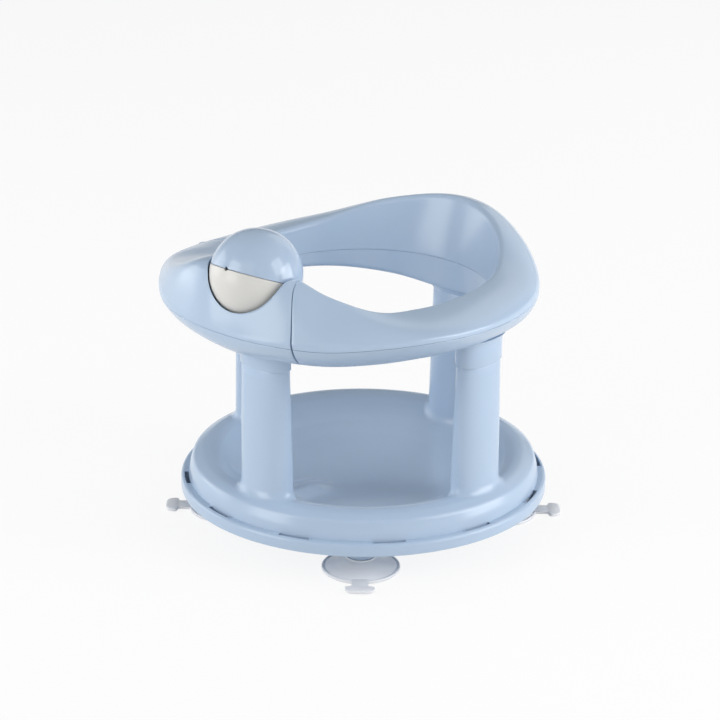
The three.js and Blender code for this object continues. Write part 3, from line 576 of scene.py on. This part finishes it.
# The screws' wells, which open out in a cone at the shell's underside
def wells(angles):
    shapes = []
    for angle in angles:
        low, seat, radius = station("bottomHeight", angle), screw["headSeat"], screw["wellRadius"]
        rim = [(0, low - 4), (screw["mouthRadius"], low - 4.1), (radius, low + screw["mouthTop"]),
               (radius, seat), (0, seat)]
        shapes.append(turned(rim, 37, atPolar(screw["pitchRadius"], angle, 0)))
    return gather(*shapes)


hinge = {"radius": 177, "knuckleRadius": 8, "gap": 0.5, "bottom": 225, "height": 8, "pinRadius": 2.5,
         "pinGap": 0.3, "headRadius": 4.4, "headHeight": 2, "pinTop": 4, "roomLow": 210, "sides": 56}
hingePlace = atPolar(hinge["radius"], gate["hingeEnd"], 0)
knuckleLevels = [hinge["bottom"] + i * (hinge["height"] + hinge["gap"]) for i in range(3)]


def knuckle(level):
    low, high, radius = level, level + hinge["height"], hinge["knuckleRadius"]
    bore = hinge["pinRadius"] + hinge["pinGap"]
    return hoop(roundedPath([(bore, low, 0.3), (radius, low, 0.7), (radius, high, 0.7), (bore, high, 0.3)]),
                hinge["sides"], hingePlace)


# Room for the other half's knuckles and for the pin, as (radius, low, high) from the bottom up
def hingeRoom(levels):
    profile = [(0, levels[0][1])]
    for radius, low, high in levels:
        profile += [(radius, low), (radius, high)]
    return turned(profile + [(0, levels[-1][2])], hinge["sides"] + 1, hingePlace)


roomGap = hinge["gap"]
roomRadius, pinRoom = hinge["knuckleRadius"] + roomGap, hinge["pinRadius"] + hinge["pinGap"]
middleLow, middleHigh = knuckleLevels[1] - roomGap, knuckleLevels[1] + hinge["height"] + roomGap
fixedRoom = hingeRoom([(pinRoom, hinge["roomLow"], middleLow), (roomRadius, middleLow, middleHigh),
                       (pinRoom, middleHigh, knuckleLevels[2] + hinge["pinTop"] + hinge["pinGap"])])
gateRoom = hingeRoom([(roomRadius, hinge["bottom"] - roomGap, middleLow + roomGap),
                      (pinRoom, middleLow + roomGap, middleHigh - roomGap),
                      (roomRadius, middleHigh - roomGap, middleHigh + hinge["height"] + roomGap)])
endTurn = math.degrees(gate["endGap"] / ring["keelRadius"]) / 2
fixedSpan = (gate["latchEnd"] + endTurn, gate["hingeEnd"] + 360 - endTurn)
gateSpan = (gate["hingeEnd"] + endTurn, gate["latchEnd"] - endTurn)
hingeCorner = station("outerRadius", gate["hingeEnd"]) - hinge["radius"] + 1
notch = block(gate["hingeEnd"], (hinge["radius"], gate["notchReach"]), (-hingeCorner, gate["notchSide"]),
              gate["notchLevels"])
tongueTurn = math.degrees(gate["tongueLength"] / gate["tongueRadius"])
tongueLow, tongueTop = gate["tongueRise"], gate["tongueRise"] + gate["tongueHeight"]
tongueIn, tongueOut = [gate["tongueRadius"] + way * gate["tongueWidth"] / 2 for way in (-1, 1)]
tongueStart = gate["latchEnd"] - tongueTurn
tongue = sector(tongueIn, tongueOut, tongueLow, tongueTop, tongueStart, gate["latchEnd"] + tongueTurn)
groove = sector(tongueIn - gate["grooveInside"], tongueOut + gate["grooveOutside"],
                tongueLow - gate["grooveGap"], tongueTop + gate["grooveGap"],
                tongueStart, gate["latchEnd"] + tongueTurn * gate["grooveLength"])

ringLower = ringShell("ringLower", *fixedSpan, upper=False)
carve(ringLower, [fixedRoom, notch, wells(screw["ringAngles"])])
attach(ringLower, knuckle(knuckleLevels[0]))
for side in ("left", "rear", "right"):
    attach(ringLower, tower(postAngles[side], False))
complete(ringLower, "seat", "shell", ["ring_lower_shell"])

ringUpper = ringShell("ringUpper", *fixedSpan, upper=True)
carve(ringUpper, [fixedRoom, notch, groove])
attach(ringUpper, knuckle(knuckleLevels[2]))
complete(ringUpper, "seat", "shell", ["ring_upper_shell"])
print("ring made")

gateLower = ringShell("gateLower", *gateSpan, upper=False, endLean=latchLean)
carve(gateLower, [gateRoom, wells(screw["gateAngles"])])
attach(gateLower, knuckle(knuckleLevels[1]))
attach(gateLower, tower(postAngles["front"], True))
complete(gateLower, "gate", "shell", ["gate_lower_shell"])


# ---- ball, its pocket and its axle ----
ball = {"radius": 43.5, "wall": 2.5, "centreRadius": 153.5, "centreHeight": 287.5, "pocketGap": 2.7,
        "pocketShift": (2, 0, 0.5), "pocketTop": 60, "splitTilt": 22, "splitGap": 0.3, "edge": 0.9,
        "axleRadius": 2.5, "axleGap": 0.3, "axleReach": 51, "bossRadius": 5.5, "bossGap": 0.5, "bossSink": 1.5,
        "dotRadius": 2, "dotDepth": 6, "rimBead": 0.55, "rimPull": 0.35, "rimStep": 1.2, "sides": 160}
ballPlace = atPolar(ball["centreRadius"], frontAngle, ball["centreHeight"])
pocketRadius = ball["radius"] + ball["pocketGap"]
pocketPlace = ballPlace + ball["pocketShift"]


def pocketTool():
    turn = np.linspace(0, np.pi / 2, 40)
    profile = [(pocketRadius * math.sin(t), -pocketRadius * math.cos(t)) for t in turn]
    return turned(profile + [(pocketRadius, ball["pocketTop"]), (0, ball["pocketTop"])], ball["sides"],
                  pocketPlace)


# How far points are from the pocket's surface, a bowl with straight sides above its middle
def fromPocket(points):
    away = points - pocketPlace
    flat = np.hypot(away[:, 0], away[:, 1])
    return np.where(away[:, 2] > 0, flat, np.linalg.norm(away, axis=1)) - pocketRadius


# The lines of points along the pocket's rim, where its surface meets the rest at a sharp angle
def rimLines(mesh, near=0.05, sharpness=0.35, shortest=20):
    points = np.array([v.co[:] for v in mesh.vertices]) * 1000
    onPocket = np.abs(fromPocket(points)) < near
    work = bmesh.new()
    work.from_mesh(mesh)
    links = {}
    for edge in work.edges:
        a, b = edge.verts[0].index, edge.verts[1].index
        if not (onPocket[a] and onPocket[b]) or len(edge.link_faces) != 2:
            continue
        inside = [all(onPocket[v.index] for v in face.verts) for face in edge.link_faces]
        if inside[0] != inside[1] and edge.calc_face_angle(0) > sharpness:
            links.setdefault(a, []).append(b)
            links.setdefault(b, []).append(a)
    work.free()
    left, loops = set(links), []
    while left:
        at = left.pop()
        line = [at]
        for way in (0, 1):
            here = at
            while True:
                ahead = [n for n in links[here] if n in left]
                if not ahead:
                    break
                here = ahead[0]
                left.discard(here)
                line.insert(len(line) if way == 0 else 0, here)
        if len(line) > shortest:
            loops.append(points[line])
    return loops


# A round bead along a line of points
def tube(line, radius, sides=10, closed=False):
    line = np.asarray(line, float)
    ahead = np.roll(line, -1, 0) - np.roll(line, 1, 0)
    if not closed:
        ahead[0], ahead[-1] = line[1] - line[0], line[-1] - line[-2]
    ahead /= np.linalg.norm(ahead, axis=1)[:, None]
    side = np.cross(ahead, [0.01, 0.02, 1])
    side /= np.linalg.norm(side, axis=1)[:, None]
    up = np.cross(side, ahead)
    turn = fullTurn(sides)
    rings = [p + radius * (np.outer(np.cos(turn), s) + np.outer(np.sin(turn), u))
             for p, s, u in zip(line, side, up)]
    return skin(rings, wraps=closed)


gateUpper = ringShell("gateUpper", *gateSpan, upper=True, endLean=latchLean)
upperRoom = hingeRoom([(roomRadius, middleLow, middleHigh + hinge["height"] + roomGap)])
carve(gateUpper, [pocketTool(), upperRoom], [tongue])
for line in rimLines(gateUpper.data):
    joined = np.linalg.norm(line[0] - line[-1]) < 3
    if joined:
        line = np.vstack([line, line[:1]])
    run = runOf(line)
    even = np.linspace(0, run[-1], int(run[-1] / ball["rimStep"]), endpoint=not joined)
    smooth = interpolated(even, run, line)
    inwards = smooth - pocketPlace
    inwards[:, 2] = 0
    inwards /= np.linalg.norm(inwards, axis=1)[:, None]
    smooth = smooth + inwards * ball["rimPull"] - [0, 0, ball["rimPull"]]
    attach(gateUpper, tube(smooth, ball["rimBead"], closed=joined))
for way in (-1, 1):
    ends = sorted((way * (ball["radius"] + ball["bossGap"]), way * (ball["axleReach"] + ball["bossSink"])))
    attach(gateUpper, bar(ball["bossRadius"], *ends, ballPlace))
complete(gateUpper, "gate", "shell", ["gate_upper_shell"])
print("gate made")


def ballHalf(name, upper):
    radius, edge, gap = ball["radius"], ball["edge"], ball["splitGap"] / 2
    inner = radius - ball["wall"]
    low = math.asin((gap + edge) / radius)
    turn = np.linspace(np.pi / 2, low, 44)
    outside = [(radius * math.cos(t), radius * math.sin(t)) for t in turn]
    flank = math.sqrt(radius ** 2 - gap ** 2)
    rounding = bezier(outside[-1], (flank, gap + 0.1), (flank - edge, gap), 6)[1:].tolist()
    inside = [(inner * math.cos(t), inner * math.sin(t)) for t in np.linspace(gap / inner, np.pi / 2, 24)]
    points, faces = turned(outside + rounding + [(flank - edge, gap)] + inside, ball["sides"])
    if not upper:
        points = points * [1, -1, -1]
    tilt = np.array(Matrix.Rotation(math.radians(-ball["splitTilt"]), 3, "X"))
    piece = makeObject(name, (points @ tilt.T + ballPlace, faces))
    dot, dotFaces = cylinder(ball["dotRadius"], -ball["dotDepth"], ball["dotDepth"], sides=36)
    dot = np.stack([dot[:, 0], dot[:, 2] - radius, dot[:, 1]], 1) @ tilt.T + ballPlace
    bore = bar(ball["axleRadius"] + ball["axleGap"], -ball["pocketTop"], ball["pocketTop"], ballPlace)
    return carve(piece, [bore, (dot, dotFaces)])


upperHalf = ballHalf("ballUpper", True)
complete(upperHalf, "ball", "ball_blue", ["ball_upper_half"])
lowerHalf = ballHalf("ballLower", False)
complete(lowerHalf, "ball", "ball_white", ["ball_lower_half"])
print("ball made")


# ---- tray ----
tray = {
    "topProfile": [(12, 47), (36, 47), (60, 47.5), (84, 48.4), (110.3, 51.1), (120, 54.4), (129.7, 59.3),
                   (139.3, 65.45), (149, 67.5), (158.5, 66.7), (168, 62.75), (171, 53.25), (172.2, 44)],
    "underProfile": [(169.6, 41.4), (168, 53.25), (165, 61.25), (157.5, 63.7), (149, 64.5), (140.3, 62.4),
                     (131.2, 56.3), (121.5, 51.4), (110.3, 48.1), (84, 45.4), (60, 44.5), (36, 44), (12, 44)],
    "flangeRadius": 180, "flangeBottom": 32, "ledge": 44, "ledgeRound": 3.6, "wall": 2.6, "soft": 1.6,
    "slotFirst": 19, "slotCount": 12, "slotSpan": 10, "slotOuter": 176.6, "slotDepth": 4.2, "slotFrame": 0.9,
    "slotLift": 0.5, "hookReach": 9.4, "hookThickness": 2,
    "bossOuter": 23.5, "bossInner": 20.5, "bossBottom": 38, "rimTopRadius": 149, "sides": 240,
    "ridgeHeight": 7, "ridgeWidth": 17, "ridgeStart": 45, "ridgeEnd": 112,
}


def smoothstep(value, low, high):
    t = np.clip((value - low) / (high - low), 0, 1)
    return t * t * (3 - 2 * t)


# The pan's floor rises in a low ridge towards the front post
def ridgeAt(x, y):
    front = -(y - axisY)
    along = smoothstep(front, tray["ridgeStart"], (tray["ridgeStart"] + tray["ridgeEnd"]) / 2)
    fade = 1 - smoothstep(front, tray["ridgeEnd"], tray["rimTopRadius"])
    return tray["ridgeHeight"] * along * fade * np.exp(-(x / tray["ridgeWidth"]) ** 2)


topPath = softened(tray["topProfile"], 110, tray["soft"])


def trayHeight(x, y):
    radius = np.hypot(x, y - axisY)
    return np.interp(radius, topPath[:, 0], topPath[:, 1]) + ridgeAt(x, y)


def trayShape():
    flange, bottom, wall, ledge = [tray[name] for name in ("flangeRadius", "flangeBottom", "wall", "ledge")]
    skirt = roundedPath([(172.2, ledge), (flange, ledge, tray["ledgeRound"]), (flange, bottom, 0.5),
                         (flange - wall, bottom, 0.5), (flange - wall, ledge - wall, 0.6),
                         (169.6, ledge - wall)], closed=False)
    under = softened(tray["underProfile"], 60, tray["soft"])
    profile = [(0, 47), *topPath.tolist(), *skirt[1:].tolist(), *under[1:].tolist(), (0, 44)]
    points, faces = turned(profile, tray["sides"], (0, axisY, 0))
    inside = np.hypot(points[:, 0], points[:, 1] - axisY) < tray["rimTopRadius"] + 1
    points[:, 2] += np.where(inside, ridgeAt(points[:, 0], points[:, 1]), 0)
    return points, faces


# The foot of a post follows the tray's surface and runs into it in a fillet
def postShape(angle):
    top = post["top"]
    footOut, footAlong = oblong(post["footDepth"], post["footWidth"])
    ground = trayHeight(*inPlan(angle, footOut + post["footRadius"], footAlong, 0)[:, :2].T)
    rings = []

    def section(height, grow):
        rise = np.clip((height - post["rimTop"]) / (top - post["rimTop"]), 0, 1)
        depth = post["footDepth"] + (post["topDepth"] - post["footDepth"]) * rise
        width = post["footWidth"] + (post["topWidth"] - post["footWidth"]) * rise
        middle = post["footRadius"] + (post["middleRadius"] - post["footRadius"]) * rise
        out, along = oblong(depth + grow * 2, width + grow * 2)
        return out + middle, along

    out, along = section(ground, post["filletReach"])
    surface = trayHeight(*inPlan(angle, out, along, 0)[:, :2].T)
    rings.append(inPlan(angle, out, along, surface - post["filletSink"]))
    for turn in np.radians(np.linspace(0, 90, 9)):
        grow = post["filletReach"] * (1 - math.sin(turn))
        lift = post["filletHeight"] * (1 - math.cos(turn))
        out, along = section(ground + lift, grow)
        surface = trayHeight(*inPlan(angle, out, along, 0)[:, :2].T)
        rings.append(inPlan(angle, out, along, surface + lift))
    for t in np.linspace(0, 1, 14)[1:]:
        height = ground + post["filletHeight"] + (top - post["topEdge"] - ground - post["filletHeight"]) * t
        out, along = section(height, 0)
        rings.append(inPlan(angle, out, along, height))
    for grow, height in ((-0.15, top - 0.18), (-post["topEdge"], top)):
        out, along = section(np.full(post["points"], height), grow)
        rings.append(inPlan(angle, out, along, height))
    return skin(rings)


# The slots to cut, and for each a snap hook, two end walls and a low frame. Parts that meet differ a
# little in size, so that no two of them share an edge
def slotShapes():
    outer, inner = tray["slotOuter"], tray["slotOuter"] - tray["slotDepth"]
    skirt, bottom = tray["flangeRadius"] - tray["wall"], tray["flangeBottom"]
    ledge, trim, lift = tray["ledge"], tray["slotFrame"], tray["slotLift"]
    hook, span = skirt - tray["hookReach"], tray["slotSpan"] / 2
    side = math.degrees(trim / outer)
    reach = span + side / 2
    slots, hooks = [], []
    for i in range(tray["slotCount"]):
        middle = tray["slotFirst"] + 360 / tray["slotCount"] * i
        ends, frameEnds = (middle - span, middle + span), (middle - reach, middle + reach)
        slots.append(sector(inner, outer, ledge - tray["wall"] - 2, ledge + 2, *ends, 9))
        hooks.append(sector(hook, skirt + 1, bottom + 0.1, bottom + tray["hookThickness"], *ends, 9))
        for low, high in ((middle - span - side, middle - span), (middle + span, middle + span + side)):
            hooks.append(sector(hook + 0.5, skirt + 1, bottom + 0.2, ledge - 0.6, low, high, 2))
            hooks.append(sector(inner - trim, outer + trim, ledge - 0.6, ledge + lift, low, high, 2))
        hooks.append(sector(inner - trim + 0.03, inner, ledge - 0.5, ledge + lift - 0.03, *frameEnds, 9))
        hooks.append(sector(outer, outer + trim - 0.03, ledge - 0.5, ledge + lift * 0.6, *frameEnds, 9))
    return gather(*slots), gather(*hooks)


seatTray = makeObject("seatTray", trayShape())
slots, hooks = slotShapes()
carve(seatTray, [slots])
attach(seatTray, hooks)
for angle in postAngles.values():
    attach(seatTray, postShape(angle))
bossProfile = [(tray["bossOuter"], 45), (tray["bossOuter"], tray["bossBottom"], 0.5),
               (tray["bossInner"], tray["bossBottom"], 0.5), (tray["bossInner"], 45)]
attach(seatTray, hoop(roundedPath(bossProfile), 72, (0, axisY, 0)))
complete(seatTray, "seat", "shell", ["seat_tray"])
print("tray made")


# ---- base disc and suction cups ----
base = {"radius": 168, "underside": 34.5, "top": 37.5, "bossRadius": 13.4, "bossBottom": 13.8, "trackRadius": 46,
        "trackWidth": 4, "hubRadius": 20, "hubWall": 3, "hubTop": 43.5, "stemHole": 6.5}
# The bell's outside from its lip up, the stem above it and the hollow under it, as (radius, height)
cup = {
    "pitchRadius": 135, "angles": [40, 130, 220, 310], "sides": 96,
    "names": ["left_rear", "right_rear", "right_front", "left_front"],
    "bell": [(37.2, 0.3), (37.6, 0.9), (37.6, 2.1), (37.1, 2.9), (36.2, 3.2), (35.3, 2.9), (34.6, 2.35),
             (33.6, 2.9), (30, 4.5), (25, 6.6), (21, 8.7), (18, 10.5), (16, 11.6), (14.9, 12.2), (14.5, 13.0)],
    "stem": [(14.5, 13.0), (14.5, 13.5, 0.3), (6.2, 13.5), (6.2, 37.8), (8.4, 37.8, 0.5), (6.2, 41, 0.8),
             (0, 41)],
    "hollow": [(0.01, 7.2), (8, 7.1), (14.5, 6.5), (20, 5), (28, 2.7), (33.6, 0.9)],
}
tab = {"start": 34, "neckWidth": 16, "headWidth": 30, "headStart": 49, "reach": 61, "low": 1.2,
       "levels": [(0, -0.9), (0.25, -0.25), (0.9, 0), (2.1, 0), (2.75, -0.25), (3, -0.9)]}


def baseShape():
    low, top, hub = base["underside"], base["top"], base["hubTop"]
    track, hubRadius = base["trackRadius"], base["hubRadius"]
    profile = roundedPath([
        (0, low), (base["radius"], low, 0.8), (base["radius"], top, 0.8), (track + base["trackWidth"], top, 0.6),
        (track + base["trackWidth"], hub, 0.5), (track, hub, 0.5), (track, top, 0.6), (hubRadius, top, 0.6),
        (hubRadius, hub, 0.5), (hubRadius - base["hubWall"], hub, 0.5), (hubRadius - base["hubWall"], top, 0.6),
        (0, top)], closed=False)
    return turned(profile, 180, (0, axisY, 0))


def cupPlace(angle):
    return atPolar(cup["pitchRadius"], angle, 0)


def bossShape(angle):
    low, radius = base["bossBottom"], base["bossRadius"]
    profile = roundedPath([(0, low), (radius, low, 0.6), (radius, 32, 3), (radius + 2.4, 34.8), (0, 34.8)],
                          closed=False)
    return turned(profile, 72, cupPlace(angle))


baseDisc = makeObject("baseDisc", baseShape())
carve(baseDisc, joined=[gather(*[bossShape(angle) for angle in cup["angles"]])])
carve(baseDisc, [gather(*[cylinder(base["stemHole"], 10, 40, cupPlace(angle)) for angle in cup["angles"]])])
complete(baseDisc, "base", "shell", ["base_disc"])


def cupShape(angle):
    bell = softened(cup["bell"], 60, 0.35)
    stem = roundedPath(cup["stem"], closed=False)
    inner = softened(cup["hollow"], 24, 0.8)
    profile = [(0, 7.2), *inner.tolist(), (33.6, 0), (36.85, 0), *bell.tolist(), *stem[1:].tolist()]
    points, faces = turned(profile, cup["sides"])
    turn = math.radians(angle)
    spin = np.array([[math.cos(turn), -math.sin(turn), 0], [math.sin(turn), math.cos(turn), 0], [0, 0, 1]])
    half, wide, start, reach = tab["neckWidth"] / 2, tab["headWidth"] / 2, tab["headStart"], tab["reach"]
    outline = roundedPath([(tab["start"], -half), (start - 1, -half, 1), (start + 1, -wide, 4),
                           (reach, -wide * 0.8, 8), (reach, wide * 0.8, 8), (start + 1, wide, 4),
                           (start - 1, half, 1), (tab["start"], half)])
    rings = []
    for height, grow in tab["levels"]:
        loop = inset(outline, -grow)
        rings.append(np.column_stack([loop, np.full(len(loop), tab["low"] + height)]))
    tabPoints, tabFaces = skin(rings)
    place = cupPlace(angle)
    return (points @ spin.T + place, faces), (tabPoints @ spin.T + place, tabFaces)


for angle, side in zip(cup["angles"], cup["names"]):
    bell, flap = cupShape(angle)
    piece = makeObject("suctionCup_" + side, bell)
    carve(piece, joined=[flap])
    complete(piece, "base", "cup", ["suction_cup_" + side], sharp=50)
print("base and cups made")


# ---- fasteners ----
# Screws that hold two shells together, with a cross cut into each head
def shellScrews(name, angles, body, nodes):
    low, high = screw["headSeat"] - screw["seatGap"] - screw["headHeight"], screw["headSeat"] - screw["seatGap"]
    radius, shank, tip = screw["headRadius"], screw["shankRadius"], high + screw["length"]
    long, wide = screw["slitLength"], screw["slitWidth"]
    outline = roundedPath([(0, low), (radius * 0.75, low + 0.1, 0.8), (radius, low + 1, 0.5),
                           (radius, high, 0.2), (shank, high), (shank, tip - 1.5), (0, tip)], closed=False)
    heads, slits = [], []
    for angle in angles:
        place = atPolar(screw["pitchRadius"], angle, 0)
        heads.append(turned(outline, 40, place))
        for turn in (angle + 20, angle + 110):
            points, faces = block(turn, (-long, long), (-wide, wide), (low - 1, low + screw["slitDepth"]))
            slits.append((points - [0, axisY, 0] + [place[0], place[1], 0], faces))
    piece = makeObject(name, gather(*heads))
    carve(piece, slits)
    complete(piece, body, "steel", nodes)


shellScrews("ringScrews", screw["ringAngles"], "seat", ["ring_screw_%d" % (i + 1) for i in range(6)])
shellScrews("gateScrews", screw["gateAngles"], "gate", ["gate_screw_%d" % (i + 1) for i in range(3)])

pinLow, pinHigh = hinge["bottom"] - hinge["pinGap"] - hinge["headHeight"], knuckleLevels[2] + hinge["pinTop"]
pinHead = pinLow + hinge["headHeight"]
pinProfile = roundedPath([(0, pinLow), (hinge["headRadius"], pinLow, 1.2), (hinge["headRadius"], pinHead, 0.3),
                          (hinge["pinRadius"], pinHead), (hinge["pinRadius"], pinHigh, 0.4), (0, pinHigh)],
                         closed=False)
hingePin = makeObject("hingePin", turned(pinProfile, 48, hingePlace))
complete(hingePin, "seat", "steel", ["hinge_pin"])
for node in ("post_screw_left", "post_screw_rear", "post_screw_right", "ball_axle"):
    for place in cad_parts[node].material_slots:
        place.material = materials["steel"]
print("fasteners made")


# ---- floor and light ----
studio = {
    "floorHalf": 8000, "floorDrop": -0.25, "floorTone": 0.55, "floorGlow": 0.24, "floorRoughness": 0.9,
    "seenTone": 0.12, "seenGlow": 0.869, "seenWorld": 0.95, "boxDistance": 2.2, "boxAim": (0, 0, 0.15),
    "litSky": {"horizon": 0.25, "top": 0.42, "rise": (0.05, 0.4)},
    "mirroredSky": {"horizon": 0.95, "top": 0.1, "rise": (0.02, 0.22)},
    # Each box of light: its turn from the camera, elevation, size and power
    "boxes": {
        "left": (-60, 15, (1.1, 2.0), 24), "rightLow": (82, 8, (1.3, 1.3), 24), "right": (62, 30, (1.2, 1.3), 16),
        "backLeft": (250, 12, (1.2, 1.3), 10), "back": (150, 30, (1.2, 1.3), 4), "high": (-25, 35, (1.1, 1.0), 3),
    },
}


# Of the studio's three versions the camera sees the pale one and reflections the mirrored one
def mixSeen(tree, lit, mirrored, seen, output):
    path = tree.nodes.new("ShaderNodeLightPath")
    below = lit
    for ray, above in (("Is Glossy Ray", mirrored), ("Is Camera Ray", seen)):
        mix = tree.nodes.new("ShaderNodeMixShader")
        tree.links.new(path.outputs[ray], mix.inputs[0])
        tree.links.new(below.outputs[0], mix.inputs[1])
        tree.links.new(above.outputs[0], mix.inputs[2])
        below = mix
    tree.links.new(below.outputs[0], output.inputs["Surface"])


def floorMaterial():
    material = bpy.data.materials.new("floor")
    material.use_nodes = True
    nodes = material.node_tree.nodes
    lit = nodes["Principled BSDF"]
    seen = nodes.new("ShaderNodeBsdfPrincipled")
    for shader, tone, glow in ((lit, studio["floorTone"], studio["floorGlow"]),
                               (seen, studio["seenTone"], studio["seenGlow"])):
        shader.inputs["Base Color"].default_value = (tone, tone, tone, 1)
        shader.inputs["Roughness"].default_value = studio["floorRoughness"]
        shader.inputs["Specular IOR Level"].default_value = 0
        shader.inputs["Emission Color"].default_value = (1, 1, 1, 1)
        shader.inputs["Emission Strength"].default_value = glow
    mixSeen(material.node_tree, lit, seen, seen, nodes["Material Output"])
    return material


def makeFloor():
    half, drop = studio["floorHalf"], studio["floorDrop"]
    corners = [(-half, -half, drop), (half, -half, drop), (half, half, drop), (-half, half, drop)]
    floor = makeObject("floor", (np.array(corners, float), [(0, 1, 2, 3)]))
    floor.data.materials.append(floorMaterial())


# A sky that goes from one tone at the horizon to another further up
def skyShader(tree, sky):
    shader, place = tree.nodes.new("ShaderNodeBackground"), tree.nodes.new("ShaderNodeTexCoord")
    parts, rise = tree.nodes.new("ShaderNodeSeparateXYZ"), tree.nodes.new("ShaderNodeMapRange")
    tree.links.new(place.outputs["Generated"], parts.inputs[0])
    tree.links.new(parts.outputs["Z"], rise.inputs["Value"])
    ends = ("From Min", "From Max", "To Min", "To Max")
    for end, value in zip(ends, (*sky["rise"], sky["horizon"], sky["top"])):
        rise.inputs[end].default_value = value
    tree.links.new(rise.outputs["Result"], shader.inputs["Color"])
    return shader


def makeWorld():
    world = bpy.data.worlds.new("studio")
    world.use_nodes = True
    tree = world.node_tree
    seen, tone = tree.nodes["Background"], studio["seenWorld"]
    seen.inputs["Color"].default_value = (tone, tone, tone, 1)
    mixSeen(tree, skyShader(tree, studio["litSky"]), skyShader(tree, studio["mirroredSky"]), seen,
            tree.nodes["World Output"])
    bpy.context.scene.world = world


def makeLights():
    for name, (turn, elevation, size, power) in studio["boxes"].items():
        data = bpy.data.lights.new(name, "AREA")
        data.shape = "RECTANGLE"
        data.size, data.size_y = size
        data.energy = power
        lamp = bpy.data.objects.new(name, data)
        bpy.context.scene.collection.objects.link(lamp)
        direction = directionOf(cameraView["azimuth"] + turn, elevation)
        lamp.location = direction * studio["boxDistance"] + Vector(studio["boxAim"])
        lamp.rotation_euler = direction.to_track_quat("Z", "Y").to_euler()


makeFloor()
makeWorld()
makeLights()
print("stage made")
